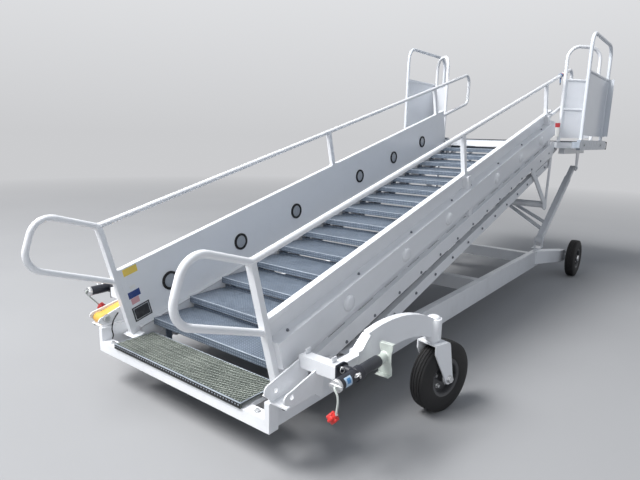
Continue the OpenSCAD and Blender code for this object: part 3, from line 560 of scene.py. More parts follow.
@dataclass
class Looks:
    """Every look of the machine, made once."""

    white: Look = look(Slot.WHITE, Paint("white_gloss", (0.80, 0.81, 0.83)))
    grey: Look = look(Slot.GREY, Paint("grey_panel_paint", (0.69, 0.72, 0.765), zinc_below=1.512))
    black: Look = look(Slot.BLACK, Paint("black_satin", (0.010, 0.012, 0.020), dirt=(0.05, 0.05, 0.05),
                                         roughness=0.48, coat=0.05))
    yellow: Look = look(Slot.YELLOW, Paint("tow_bar_yellow", (0.76, 0.41, 0.065), dirt=(0.28, 0.20, 0.10)))
    red: Look = look(Slot.BLACK, Decal("crank_knob_red", (0.62, 0.025, 0.02), roughness=0.3))
    rim: Look = look(Slot.RIM, Paint("rim_grey_paint", (0.045, 0.046, 0.050), dirt=(0.12, 0.115, 0.11),
                                     roughness=0.36, coat=0.2))
    barrel: Look = look(Slot.BLACK, Paint("cylinder_enamel", (0.07, 0.075, 0.085), dirt=(0.2, 0.19, 0.17)))
    tread: Look = look(Slot.GALVANISED, Galvanised("galvanised_tread", dots=0.0155))
    # A lighter copy of the galvanised finish that paints highlights on the treads' nosing beads and the
    # landing's lip teeth; the landing's frame takes it too.
    edge: Look = look(Slot.GALVANISED, Galvanised("galvanised_edge", light=(0.43, 0.475, 0.53),
                                                  dark=(0.29, 0.33, 0.38)))
    grating: Look = look(Slot.GALVANISED, Galvanised("galvanised_grating", light=(0.40, 0.43, 0.39),
                                                     dark=(0.24, 0.265, 0.24)))
    shade: Look = look(Slot.GALVANISED, Galvanised("galvanised_in_shade", light=(0.085, 0.10, 0.085),
                                                   dark=(0.035, 0.043, 0.037), stain=(0.04, 0.04, 0.036)))
    steel: Look = look(Slot.ZINC, Metal("dark_bolt_steel", (0.20, 0.215, 0.24), roughness=0.42, metallic=0.6))
    foot: Look = look(Slot.ZINC, Galvanised("pale_zinc_plate", light=(0.62, 0.66, 0.62),
                                            dark=(0.50, 0.545, 0.505)))
    deck: Look = look(Slot.GALVANISED, Galvanised("deck_plate", light=(0.31, 0.34, 0.38),
                                                  dark=(0.20, 0.22, 0.25), dots=0.022))
    zinc: Look = look(Slot.ZINC, Metal("zinc_plate", (0.66, 0.67, 0.68)))
    chrome: Look = look(Slot.CHROME, Metal("chrome_plate", (0.82, 0.83, 0.85), roughness=0.08, scratch=0.08))
    tyre: Look = look(Slot.TYRE, Rubber("tyre_rubber_dusty", sipes=96))
    rubber: Look = look(Slot.RUBBER, Rubber("bumper_rubber"))
    # Near-black that paints shadow: in the slots of the stringers' ledges and behind the landing's lip teeth.
    dark: Look = look(Slot.BLACK, Rubber("slot_shadow", (0.012, 0.012, 0.013), dust=(0.05, 0.05, 0.05)))
    lens: Look = look(Slot.LIGHT, Lens("step_light_lens"))
    pale_label: Look = look(Slot.BLACK, Decal("label_pale_blue", (0.42, 0.55, 0.68)))
    blue_label: Look = look(Slot.BLACK, Decal("label_blue", (0.07, 0.25, 0.52)))
    navy_label: Look = look(Slot.BLACK, Decal("label_navy", (0.025, 0.055, 0.22)))
    yellow_label: Look = look(Slot.BLACK, Decal("label_yellow", (0.85, 0.62, 0.10)))
    pink_label: Look = look(Slot.BLACK, Decal("label_pink", (0.66, 0.36, 0.38)))
    red_label: Look = look(Slot.BLACK, Decal("label_red", (0.58, 0.04, 0.05)))
    white_label: Look = look(Slot.BLACK, Decal("label_white", (0.80, 0.79, 0.76)))
    black_label: Look = look(Slot.BLACK, Decal("plate_black", (0.03, 0.03, 0.034)))

    def dress(self, nodes: dict[str, bpy.types.Object]) -> None:
        """Gives every CAD node its finish; what isn't listed is painted white.

        Args:
            nodes: The frame's nodes by name.
        """
        by_stem = {
            "landing_grating": self.shade, "step": self.tread, "step_lights": self.rubber,
            "platform_deck": self.deck, "rear_bumper": self.rubber, "tow_bar": self.yellow,
            "cylinder_barrel": self.barrel, "cylinder_rod": self.chrome, "jack_tube": self.black,
            "jack_foot": self.zinc, "front_tyre": self.tyre, "rear_tyre": self.tyre,
            "front_rim": self.rim, "rear_rim": self.rim, "sliding_guard": self.grey,
        }
        for name, node in nodes.items():
            stem = re.sub(r"_(right|left|\d+)$", "", name)
            material = by_stem.get(stem, self.white).material
            node.data.materials.clear()
            node.data.materials.append(material)
            log.info("%s is finished in %s", name, material.name)


def settle(piece: bpy.types.Object, body: str) -> None:
    """Puts a piece on its body and reports it.

    Args:
        piece: The finished piece.
        body: Name of its CAD body.
    """
    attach(piece, body)
    log.info("%s rides %s, %d faces", piece.name, body, len(piece.data.polygons))


class Solid:
    """One mesh put together from simple closed shapes."""

    def __init__(self, place: Matrix | None = None) -> None:
        """Starts an empty mesh.

        Args:
            place: Matrix from the shapes' coordinates to the frame; without it they are survey places.
        """
        self.mesh = bmesh.new()
        self.place = place or SURVEY.base()

    def _skin(self, rows: list[list[Vector]], closed: bool = False) -> None:
        """Skins a row of closed rings, and caps both ends of an open row.

        Args:
            rows: The rings, each of the same number of points.
            closed: True where the last ring joins the first.
        """
        made = [[self.mesh.verts.new(self.place @ p) for p in ring] for ring in rows]
        count = len(made[0])
        for low, high in zip(made, made[1:] + made[:1] if closed else made[1:]):
            for i in range(count):
                j = (i + 1) % count
                self.mesh.faces.new((low[i], low[j], high[j], high[i]))
        if not closed:
            self.mesh.faces.new(made[0][::-1])
            self.mesh.faces.new(made[-1])

    def box(self, low: Point, high: Point) -> None:
        """Adds a box from its two far corners."""
        ring = [(low[0], low[1]), (high[0], low[1]), (high[0], high[1]), (low[0], high[1])]
        self._skin([[Vector((x, y, z)) for x, y in ring] for z in (low[2], high[2])])

    def prism(self, outline: Outline, x0: float, x1: float) -> None:
        """Adds an outline of (y, z) points, thick from x0 to x1."""
        self._skin([[Vector((x, y, z)) for y, z in outline] for x in (x0, x1)])

    def wall(self, outline: Outline, y0: float, y1: float) -> None:
        """Adds an outline of (x, z) points, thick from y0 to y1."""
        self._skin([[Vector((x, y, z)) for x, z in outline] for y in (y0, y1)])

    def lathe(self, profile: Outline, centre: Point, axis: Point, sides: int = 32,
              ring: bool = False) -> None:
        """Turns a profile round an axis.

        Args:
            profile: Points of (distance along the axis, radius).
            centre: A point on the axis, where the distance is 0.
            axis: Direction of the axis.
            sides: Number of sides.
            ring: True for a closed profile that doesn't reach the axis.
        """
        way = Vector(axis).normalized()
        across = way.orthogonal().normalized()
        other = way.cross(across)
        rows = []
        for turn in turns(sides):
            out = across * math.cos(turn) + other * math.sin(turn)
            rows.append([Vector(centre) + way * d + out * r for d, r in profile])
        self._skin(rows if ring else [list(level) for level in zip(*rows)], closed=ring)

    def patch(self, profile: Outline, centre: Point, start: float, end: float, sides: int = 16) -> None:
        """Turns a closed profile round an axis along y through a part of a turn.

        Args:
            profile: Points of (y from the centre, radius).
            centre: A point on the axis.
            start: First angle, from +x towards +z.
            end: Last angle.
            sides: Number of sides.
        """
        rows = []
        for i in range(sides + 1):
            turn = start + (end - start) * i / sides
            out = Vector((math.cos(turn), 0.0, math.sin(turn)))
            rows.append([Vector(centre) + out * r + Vector((0.0, d, 0.0)) for d, r in profile])
        self._skin(rows)

    def torus(self, centre: Point, axis: Point, reach: float, radius: float, sides: int = 28) -> None:
        """Adds a ring of round wire, reach from its centre to the wire's middle."""
        profile = [(radius * math.sin(a), reach + radius * math.cos(a)) for a in turns(8)]
        self.lathe(profile, centre, axis, sides, ring=True)

    def rod(self, start: Point, end: Point, radius: float, sides: int = 24, edge: float = 0.0) -> None:
        """Adds a round bar.

        Args:
            start: Middle of one end.
            end: Middle of the other end.
            radius: The bar's radius.
            sides: Number of sides.
            edge: Width of the small cones that break the ends' edges.
        """
        way = Vector(end) - Vector(start)
        far = way.length
        profile = [(0.0, radius), (far, radius)]
        if edge:
            profile = [(0.0, radius - edge), (edge, radius), (far - edge, radius), (far, radius - edge)]
        self.lathe(profile, start, way, sides)

    def tube(self, path: Sequence[Vector], radius: float, sides: int = 12) -> None:
        """Adds a round tube.

        Args:
            path: The points that its middle follows.
            radius: Its radius.
            sides: Number of sides.
        """
        rows = []
        side = (path[1] - path[0]).orthogonal().normalized()
        for i, point in enumerate(path):
            way = (path[min(i + 1, len(path) - 1)] - path[max(i - 1, 0)]).normalized()
            side = (side - way * side.dot(way)).normalized()
            other = way.cross(side)
            rows.append([point + (side * math.cos(a) + other * math.sin(a)) * radius for a in turns(sides)])
        self._skin(rows)

    def fit(self, name: str, worn: Look, body: str, bevel: float = 0.0, smooth: float = 35.0,
            stands_for: str = "", slot: Slot | None = None) -> None:
        """Turns the mesh into an object at the origin, on its body.

        Args:
            name: Name of the piece.
            worn: Its look.
            body: Name of its CAD body.
            bevel: Width of the bevel on sharp edges.
            smooth: Angle in degrees under which faces shade smoothly.
            stands_for: The CAD node that the piece replaces, if any.
            slot: Not used.
        """
        bmesh.ops.recalc_face_normals(self.mesh, faces=self.mesh.faces)
        if bevel:
            sharp = [e for e in self.mesh.edges if e.is_manifold and e.calc_face_angle() > math.radians(40)]
            bmesh.ops.bevel(self.mesh, geom=sharp, offset=bevel, segments=1, affect="EDGES",
                            clamp_overlap=True)
        limit = math.radians(smooth)
        for face in self.mesh.faces:
            face.smooth = True
        for edge in self.mesh.edges:
            edge.smooth = edge.is_manifold and edge.calc_face_angle() < limit
        data = bpy.data.meshes.new(name)
        self.mesh.to_mesh(data)
        self.mesh.free()
        data.materials.append(worn.material)
        piece = bpy.data.objects.new(name, data)
        bpy.context.scene.collection.objects.link(piece)
        if stands_for:
            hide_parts(stands_for)
        settle(piece, body)


class Tree(Graph):
    """A Geometry Nodes tree with named inputs, made once and used for many pieces."""

    def __init__(self, name: str, values: dict[str, Any]) -> None:
        """Starts the tree with its inputs.

        Args:
            name: Name of the tree.
            values: Names and first values of the inputs: a whole number, a number or a vector.
        """
        super().__init__(bpy.data.node_groups.new(name, "GeometryNodeTree"))
        face = self.tree.interface
        face.new_socket("Geometry", in_out="OUTPUT", socket_type="NodeSocketGeometry")
        face.new_socket("Places", in_out="INPUT", socket_type="NodeSocketGeometry")
        kinds = {int: "NodeSocketInt", float: "NodeSocketFloat", tuple: "NodeSocketVector"}
        self.sockets: dict[str, str] = {}
        for key, value in values.items():
            made = face.new_socket(key, in_out="INPUT", socket_type=kinds[type(value)])
            made.default_value = value
            self.sockets[key] = made.identifier
        made = face.new_socket("Finish", in_out="INPUT", socket_type="NodeSocketMaterial")
        self.sockets["Finish"] = made.identifier
        self.given = self.add("NodeGroupInput").outputs

    def moved(self, mesh: bpy.types.Node, lift: Socket) -> Socket:
        """A mesh moved up by a height."""
        way = self.add("ShaderNodeCombineXYZ", {"Z": lift}).outputs[0]
        return self.add("GeometryNodeTransform", {"Geometry": mesh.outputs[0], "Translation": way}).outputs[0]

    def finish(self, shape: Socket, **more: Any) -> None:
        """Sets the shape out on the places and ends in Realize Instances and Set Material.

        Args:
            shape: What stands at every place.
            **more: Further inputs of Instance on Points.
        """
        rows = self.add("GeometryNodeInstanceOnPoints",
                        {"Points": self.given["Places"], "Instance": shape, **more})
        real = self.add("GeometryNodeRealizeInstances", {"Geometry": rows.outputs[0]})
        dressed = self.add("GeometryNodeSetMaterial",
                           {"Geometry": real.outputs[0], "Material": self.given["Finish"]})
        self.add("NodeGroupOutput", {0: dressed.outputs[0]})

    def grow(self, name: str, points: Iterable[Point], worn: Look, place: Matrix, body: str,
             **values: Any) -> None:
        """Runs the tree on points and keeps the result as a plain mesh on a body.

        Args:
            name: Name of the piece.
            points: Places in the coordinates of place.
            worn: Look of the piece.
            place: Matrix to the frame, which moves and turns the grown mesh too.
            body: Name of its CAD body.
            **values: Inputs of the tree, with _ for a space in a name.
        """
        seed = bpy.data.meshes.new(name)
        seed.from_pydata([tuple(p) for p in points], [], [])
        made = bpy.data.objects.new(name, seed)
        bpy.context.scene.collection.objects.link(made)
        modifier = made.modifiers.new("grow", "NODES")
        modifier.node_group = self.tree
        modifier[self.sockets["Finish"]] = worn.material
        for key, value in values.items():
            modifier[self.sockets[key.replace("_", " ")]] = value
        shown = made.evaluated_get(bpy.context.evaluated_depsgraph_get())
        data = bpy.data.meshes.new_from_object(shown)
        made.modifiers.clear()
        made.data = data
        data.transform(place)
        if place.is_negative:
            data.flip_normals()
        data.name = name
        bpy.data.meshes.remove(seed)
        settle(made, body)


class BoltTree(Tree):
    """A hexagon head on a washer at every point, each turned by a seeded angle."""

    def __init__(self) -> None:
        """Builds the tree."""
        super().__init__("bolts_at_places", {"Head Radius": 0.010, "Head Height": 0.007,
                                             "Washer Radius": 0.015, "Washer Height": 0.002, "Seed": 3,
                                             "Axis": ALONG_X})
        given = self.given
        head = self.add("GeometryNodeMeshCylinder", {"Vertices": 6, "Radius": given["Head Radius"],
                                                     "Depth": given["Head Height"]})
        washer = self.add("GeometryNodeMeshCylinder", {"Vertices": 16, "Radius": given["Washer Radius"],
                                                       "Depth": given["Washer Height"]})
        head_up = self.math("ADD", self.math("MULTIPLY", given["Head Height"], 0.5), given["Washer Height"])
        washer_up = self.math("MULTIPLY", given["Washer Height"], 0.5)
        bolt = self.add("GeometryNodeJoinGeometry", {0: self.moved(washer, washer_up)})
        self.tree.links.new(self.moved(head, head_up), bolt.inputs[0])
        spin = self.add("FunctionNodeRandomValue", data_type="FLOAT")
        for socket in (s for s in spin.inputs if s.enabled):
            if socket.name == "Max":
                socket.default_value = math.tau
            if socket.name == "Seed":
                self.tree.links.new(given["Seed"], socket)
        turned = [s for s in spin.outputs if s.enabled][0]
        about = self.add("FunctionNodeAxisAngleToRotation", {"Axis": ALONG_Z, "Angle": turned})
        point = self.add("FunctionNodeAlignRotationToVector", {"Vector": given["Axis"]}, axis="Z")
        both = self.add("FunctionNodeRotateRotation", {0: point.outputs[0], 1: about.outputs[0]},
                        rotation_space="LOCAL")
        self.finish(bolt.outputs[0], Rotation=both.outputs[0])


class BlockTree(Tree):
    """A plain small block at every point, such as a seam or a tooth."""

    def __init__(self) -> None:
        """Builds the tree."""
        super().__init__("blocks_at_places", {"Size": (0.01, 0.01, 0.01)})
        self.finish(self.add("GeometryNodeMeshCube", {"Size": self.given["Size"]}).outputs[0])


class DiamondTree(Tree):
    """A diamond of thin bars at every point; their tips meet in a raised mesh."""

    def __init__(self) -> None:
        """Builds the tree."""
        super().__init__("diamonds_at_places", {"Reach": 0.007, "Bar": 0.0011, "Shape": (1.0, 1.0, 2.2)})
        ring, bar = (self.add("GeometryNodeCurvePrimitiveCircle",
                              {"Resolution": 4, "Radius": self.given[key]}).outputs[0]
                     for key in ("Reach", "Bar"))
        mesh = self.add("GeometryNodeCurveToMesh", {"Curve": ring, "Profile Curve": bar})
        tall = self.add("GeometryNodeTransform", {"Geometry": mesh.outputs[0], "Scale": self.given["Shape"]})
        self.finish(tall.outputs[0])


@dataclass
class Kit:
    """What every assembly builds with: the looks, and the Geometry Nodes trees."""

    looks: Looks = field(default_factory=Looks)
    bolt_tree: BoltTree = field(default_factory=BoltTree)
    blocks: BlockTree = field(default_factory=BlockTree)
    diamonds: DiamondTree = field(default_factory=DiamondTree)

    def bolts(self, name: str, spots: Iterable[Point], place: Matrix, body: str, head: tuple[float, float],
              washer: tuple[float, float] = (0.015, 0.002), worn: Look | None = None, **more: Any) -> None:
        """Grows bolts at places.

        Args:
            name: Name of the piece.
            spots: Places in the coordinates of place.
            place: Matrix to the frame.
            body: Name of its CAD body.
            head: The heads' radius and height.
            washer: The washers' radius and height.
            worn: Their look, zinc plate where it isn't given.
            **more: The tree's Axis and Seed, where they aren't its own.
        """
        self.bolt_tree.grow(name, spots, worn or self.looks.zinc, place, body, Head_Radius=head[0],
                            Head_Height=head[1], Washer_Radius=washer[0], Washer_Height=washer[1], **more)


@dataclass
class Wheel:
    """Tyre with ribs and sipes, and the rim's flanges, hub cap, bolts and valve."""

    kit: Kit
    end: str
    side: Side
    axle: Matrix
    outer_r: float = 0.2028
    bead_r: float = 0.1045
    crown: float = 2.2
    groove: float = 0.0065
    segments: int = 80
    uv_width: float = 0.12
    bolt_circle: float = 0.060
    bolt_count: int = 5

    @property
    def name(self) -> str:
        """Name of the wheel and of its body."""
        return f"{self.end}_wheel_{self.side.label}"

    @property
    def place(self) -> Matrix:
        """Matrix of the wheel on its side, with its axle on the x axis."""
        return self.side.mirror @ self.axle

    def build(self) -> None:
        """Builds the tyre and what the rim carries."""
        self._tyre()
        self._flanges()
        self._hub()

    def _tread_r(self, across: float) -> float:
        """Radius of the tread's crowned surface at a distance from its middle."""
        return self.outer_r - self.crown * across * across

    def _section(self) -> list[tuple[float, float]]:
        """The tyre's closed section.

        Returns:
            Points of (across, radius), from one bead over the tread to the other.
        """
        half = [(0.0380, self.bead_r), (0.0440, 0.1075), (0.0480, 0.1150), (0.0505, 0.1300),
                (0.0515, 0.1480), (0.0505, 0.1640), (0.0480, 0.1765), (0.0450, 0.1860),
                (0.0420, 0.1935), (0.0400, 0.1975), (0.0375, 0.1995)]
        lean = 0.0006
        for outer, inner in ((0.0285, 0.0245), (0.0120, 0.0080)):
            level = self._tread_r(outer)
            half += [(outer, level), (outer - lean, level - self.groove), (inner + lean, level - self.groove),
                     (inner, self._tread_r(inner))]
        return half + [(-x, r) for x, r in reversed(half)]

    def _tyre(self) -> None:
        """The tyre with its UV map, in place of the CAD node."""
        shape = Solid(self.place)
        shape.lathe(self._section(), ORIGIN, ALONG_X, self.segments, ring=True)
        uv = shape.mesh.loops.layers.uv.new("tread")
        back = self.place.inverted()
        for face in shape.mesh.faces:
            middle = back @ face.calc_center_median()
            home = math.atan2(middle.z, middle.y) / math.tau
            for loop in face.loops:
                local = back @ loop.vert.co
                turn = math.atan2(local.z, local.y) / math.tau
                turn += round(home - turn)
                loop[uv].uv = (turn, 0.5 + local.x / self.uv_width)
        shape.fit(self.name + "_tyre_ribbed", self.kit.looks.tyre, self.name, smooth=50,
                  stands_for=f"{self.end}_tyre_{self.side.label}")

    def _flanges(self) -> None:
        """The rim's rolled lips and the drop between them, on both sides."""
        shape = Solid(self.place)
        lip = [(0.0370, 0.0955), (0.0385, 0.1080), (0.0425, 0.1110), (0.0450, 0.1090), (0.0420, 0.1040),
               (0.0405, 0.0950)]
        drop = [(0.006, 0.0905), (0.020, 0.0880), (0.036, 0.0935), (0.036, 0.0900), (0.020, 0.0845),
                (0.006, 0.0870)]
        for way in (1.0, -1.0):
            for profile in (lip, drop):
                shape.lathe([(x * way, r) for x, r in profile], ORIGIN, ALONG_X, 64, ring=True)
        shape.fit(self.name + "_rim_flanges", self.kit.looks.rim, self.name, smooth=50)

    def _hub(self) -> None:
        """Hub caps on both ends, wheel bolts and the valve."""
        looks = self.kit.looks
        cap = Solid(self.place)
        dome = [(0.044, 0.0330), (0.050, 0.0330), (0.0535, 0.0290), (0.0550, 0.0200), (0.0555, 0.0100),
                (0.0555, 0.0030)]
        for way in (1.0, -1.0):
            cap.lathe([(x * way, r) for x, r in dome], ORIGIN, ALONG_X, 32)
        cap.fit(self.name + "_hub_cap", looks.zinc, self.name, smooth=50)
        spots = []
        for i in range(self.bolt_count):
            turn = math.tau * (i + 0.25) / self.bolt_count
            spots.append((0.014, self.bolt_circle * math.cos(turn), self.bolt_circle * math.sin(turn)))
        self.kit.bolts(self.name + "_wheel_bolts", spots, self.place, self.name, head=(0.0095, 0.011),
                       washer=(0.0135, 0.002))
        valve = Solid(self.place)
        valve.rod((0.010, 0.078, 0.0), (0.045, 0.080, 0.004), 0.0032, 12, 0.0008)
        valve.fit(self.name + "_valve", looks.rubber, self.name)


@dataclass
class Running:
    """The four wheels, the casters' axle nuts and their kingpin sleeves."""

    kit: Kit
    fork_out: float = 0.066

    def build(self) -> None:
        """Builds both sides."""
        for side in Side:
            Wheel(self.kit, "front", side, SURVEY.front_axle()).build()
            Wheel(self.kit, "rear", side, SURVEY.rear_axle()).build()
            self._caster(side)

    def _caster(self, side: Side) -> None:
        """Adds the axle nuts and the sleeve round the kingpin.

        Args:
            side: The caster's side.
        """
        place = side.mirror @ SURVEY.caster()
        for way, end in ((1.0, "out"), (-1.0, "in")):
            spot = (self.fork_out * way, SURVEY.caster_trail, SURVEY.tyre_r)
            self.kit.bolts(f"caster_nut_{side.label}_{end}", [spot], place, "caster_" + side.label,
                           head=(0.019, 0.012), washer=(0.024, 0.003), Axis=(way, 0.0, 0.0))
        sleeve = Solid(place)
        sleeve.lathe([(0.433, 0.026), (0.433, 0.042), (0.436, 0.0445), (0.548, 0.0445), (0.551, 0.0425),
                      (0.5515, 0.034), (0.557, 0.033), (0.563, 0.028), (0.567, 0.018), (0.568, 0.004)],
                     ORIGIN, ALONG_Z, 40)
        sleeve.fit("kingpin_sleeve_" + side.label, self.kit.looks.white, "base", smooth=50)


@dataclass
class Panel:
    """One side of the flight: heads of the pins, panel bolts, painted slot shadows, domes, step lights and
    strip.
    """

    kit: Kit
    side: Side
    stringer_in: float = 0.577
    stringer_out: float = 0.645
    box_out: float = 0.652
    rail_out: float = 0.618
    light_r: float = 0.060
    strip_x: tuple[float, float] = (0.5345, 0.5375)
    strip_u: tuple[float, float] = (-0.235, 4.080)
    strip_w: tuple[float, float] = (-0.045, 0.033)
    notch_r: float = 0.014
    shoulder: tuple[float, float] = (0.622, 0.2966)
    shoulder_bolts: tuple[float, ...] = (-0.157, 0.437, 1.030, 1.624, 2.529, 3.120, 3.710, 1.960)
    shoulder_up: Point = (0.20, 0.0, 0.98)
    ledge: tuple[float, float] = (0.6120, 0.0822)
    first_seam: float = 0.20
    posts_u: tuple[float, float] = (1.900, 3.925)

    @property
    def place(self) -> Matrix:
        """Matrix from (outwards, along the slope, square to it) to the frame."""
        return self.side.mirror @ SURVEY.flight()

    def build(self) -> None:
        """Builds everything on this side."""
        self._pivots()
        self._panel_bolts()
        self._ledge_seams()
        self._domes()
        self._lights()
        self._closing_strip()
        self._post_feet()

    def _pivots(self) -> None:
        """Bolt heads on the ends of the steps' pins, outside stringer and lower rail."""
        label, steel = self.side.label, self.kit.looks.steel
        along = [SURVEY.step_u(i) for i in range(SURVEY.step_count)]
        spots = [(self.stringer_out, u, 0.0) for u in (*along, 0.0, SURVEY.platform_pin)]
        self.kit.bolts("stringer_pivots_" + label, spots, self.place, "flight", head=(0.0078, 0.0045),
                       washer=(0.0098, 0.0015), worn=steel, Seed=5)
        spots = [(self.rail_out, u, 0.0) for u in (*along, SURVEY.platform_pin)]
        self.kit.bolts("rail_pivots_" + label, spots, self.side.mirror @ SURVEY.rail(), "lower_rail_" + label,
                       head=(0.0082, 0.0060), washer=(0.0105, 0.0020), worn=steel, Seed=7)

    def _panel_bolts(self) -> None:
        """Small dark bolts on the shoulder of the panel's long box."""
        out, up = self.shoulder
        spots = [(out, u, up) for u in self.shoulder_bolts]
        self.kit.bolts("panel_bolts_" + self.side.label, spots, self.place, "flight", head=(0.0065, 0.007),
                       washer=(0.0080, 0.0015), worn=self.kit.looks.steel, Axis=self.shoulder_up, Seed=11)

    def _ledge_seams(self) -> None:
        """Thin dark blocks that paint the shadow in the stringer's ledge slots, one between each two steps.
        """
        out, up = self.ledge
        spots = [(out, self.first_seam + SURVEY.step_pitch * k, up) for k in range(SURVEY.step_count - 1)]
        self.kit.blocks.grow("ledge_seams_" + self.side.label, spots, self.kit.looks.dark, self.place,
                             "flight", Size=(0.0024, 0.150, 0.0008))

    def _domes(self) -> None:
        """Smooth pressed domes on the long box, over the step lights' cable holes."""
        domes = Solid(self.place)
        profile = [(-0.001, 0.0450), (0.0040, 0.0444), (0.0090, 0.0418), (0.0140, 0.0362), (0.0175, 0.0280),
                   (0.0192, 0.0160), (0.0195, 0.0040)]
        for u in SURVEY.lights(self.side):
            domes.lathe(profile, (self.box_out, u, SURVEY.light_w + 0.016), ALONG_X, 40)
        domes.fit("light_domes_" + self.side.label, self.kit.looks.white, "flight", smooth=60)

    def _lights(self) -> None:
        """Ribbed lenses and their bezels, on the panels' inner faces."""
        looks, r, inner = self.kit.looks, self.light_r, self.stringer_in
        lenses, bezels = Solid(self.place), Solid(self.place)
        lens = [(0.004, r - 0.016), (-0.0005, r - 0.016), (-0.0022, r - 0.026), (-0.0032, r - 0.040),
                (-0.0035, 0.003)]
        bezel = [(-0.0085, r - 0.003), (-0.0105, r - 0.006), (-0.0105, r - 0.012), (-0.0085, r - 0.0155),
                 (-0.003, r - 0.0155), (-0.003, r - 0.003)]
        for u in SURVEY.lights(self.side):
            lenses.lathe(lens, (inner - 0.004, u, SURVEY.light_w), ALONG_X, 40)
            bezels.lathe(bezel, (inner, u, SURVEY.light_w), ALONG_X, 48, ring=True)
        lenses.fit("step_light_lenses_" + self.side.label, looks.lens, "flight")
        bezels.fit("step_light_bezels_" + self.side.label, looks.rubber, "flight", slot=Slot.LIGHT)

    def _closing_strip(self) -> None:
        """Strip beside the tread ends, notched round every pin."""
        (x0, x1), (u0, u1), (low, top) = self.strip_x, self.strip_u, self.strip_w
        r = self.notch_r
        outline: list[tuple[float, float]] = [(u0, top), (u1, top), (u1, low)]
        for i in reversed(range(SURVEY.step_count)):
            u = SURVEY.step_u(i)
            arc = [math.pi * k / 8 for k in range(9)]
            outline += [(u + r, low), *((u + r * math.cos(a), r * math.sin(a)) for a in arc), (u - r, low)]
        outline.append((u0, low))
        strip = Solid(self.place)
        strip.prism(outline, x0, x1)
        strip.box((x0, u0, top - 0.003), (self.stringer_in, u1, top))
        strip.fit("closing_strip_" + self.side.label, self.kit.looks.white, "flight")

    def _post_feet(self) -> None:
        """Welded foot plates under the handrail's posts."""
        feet = Solid(self.place)
        for u in self.posts_u:
            feet.box((0.579, u - 0.032, 0.4095), (0.6155, u + 0.032, 0.4145))
        feet.box((0.524, -0.305, -0.010), (0.648, -0.232, -0.004))
        feet.prism([(-0.256, -0.004), (-0.234, -0.004), (-0.256, 0.040)], 0.590, 0.596)
        feet.fit("post_feet_" + self.side.label, self.kit.looks.white, "flight", 0.001)


@dataclass
class Flight:
    """Both sides of the flight, the blank plates on the left panel and the right rail's strap."""

    kit: Kit
    label_x: float = 0.5762
    frame_x: float = 0.5750
    frame_t: float = 0.004
    rail_end: tuple[float, float] = (0.598, 0.695)
    strap_r: tuple[float, float] = (0.0188, 0.0205)

    def build(self) -> None:
        """Builds the flight's fittings."""
        for side in Side:
            Panel(self.kit, side).build()
        self._labels()
        self._plate_frame()
        self._strap()

    def _labels(self) -> None:
        """Blank plates and stickers on the left panel's inner face."""
        looks = self.kit.looks
        # Name, along the slope from and to, square to it from and to, look.
        for name, u0, u1, w0, w1, worn in (
                ("yellow", -0.226, -0.132, 0.358, 0.402, looks.yellow_label),
                ("navy", -0.236, -0.156, 0.212, 0.254, looks.navy_label),
                ("pink", -0.228, -0.174, 0.172, 0.210, looks.pink_label),
                ("white", -0.212, -0.176, 0.266, 0.288, looks.white_label),
                ("black", -0.240, -0.119, 0.058, 0.152, looks.black_label)):
            label = Solid(Side.LEFT.mirror @ SURVEY.flight())
            label.box((self.label_x, u0, w0), (self.label_x + 0.0009, u1, w1))
            label.fit("blank_label_" + name, worn, "flight")

    def _plate_frame(self) -> None:
        """Bright frame on the black plate."""
        frame = Solid(Side.LEFT.mirror @ SURVEY.flight())
        x0, x1, t = self.frame_x, self.label_x, self.frame_t
        u0, u1, w0, w1 = -0.232, -0.127, 0.066, 0.144
        frame.box((x0, u0, w0), (x1, u1, w0 + t))
        frame.box((x0, u0, w1 - t), (x1, u1, w1))
        frame.box((x0, u0, w0 + t), (x1, u0 + t, w1 - t))
        frame.box((x0, u1 - t, w0 + t), (x1, u1, w1 - t))
        frame.fit("name_plate_frame", self.kit.looks.zinc, "flight")

    def _strap(self) -> None:
        """Short coloured barrier strap hooked round the right handrail's end."""
        looks, (x, w), (inner, outer) = self.kit.looks, self.rail_end, self.strap_r
        # Name, along the slope from and to, height of the tail's end, look.
        for name, u0, u1, tail, worn in (("blue", 4.405, 4.440, 0.624, looks.blue_label),
                                         ("red", 4.448, 4.462, 0.652, looks.red_label)):
            loop = Solid(SURVEY.flight())
            loop.lathe([(0.0, inner), (0.0, outer), (u1 - u0, outer), (u1 - u0, inner)], (x, u0, w),
                       ALONG_Y, 28, ring=True)
            loop.box((x - 0.0025, u0 + 0.004, tail), (x + 0.0025, u1 - 0.003, 0.678))
            loop.fit("rail_strap_" + name, worn, "flight")
        hook = Solid(SURVEY.flight())
        hook.torus((x, 4.424, 0.612), ALONG_X, 0.0120, 0.0028, 20)
        hook.fit("rail_strap_hook", looks.steel, "flight")


@dataclass
class Steps:
    """Fittings of the fifteen steps, each on its own body."""

    kit: Kit
    half: float = 0.518
    setback: float = 0.100
    rise: float = 0.025
    bead_r: float = 0.0028

    def build(self) -> None:
        """Adds a bead along every tread's nosing: a worn edge, whose lighter galvanised also paints its
        highlight.
        """
        y, z = 0.0024 - self.setback, self.rise - 0.0016
        for i in range(SURVEY.step_count):
            bead = Solid(SURVEY.step(i))
            bead.rod((-self.half + 0.001, y, z), (self.half - 0.001, y, z), self.bead_r, 10, 0.0008)
            bead.fit(f"step_{i + 1:02d}_worn_edge", self.kit.looks.edge, f"step_{i + 1:02d}")


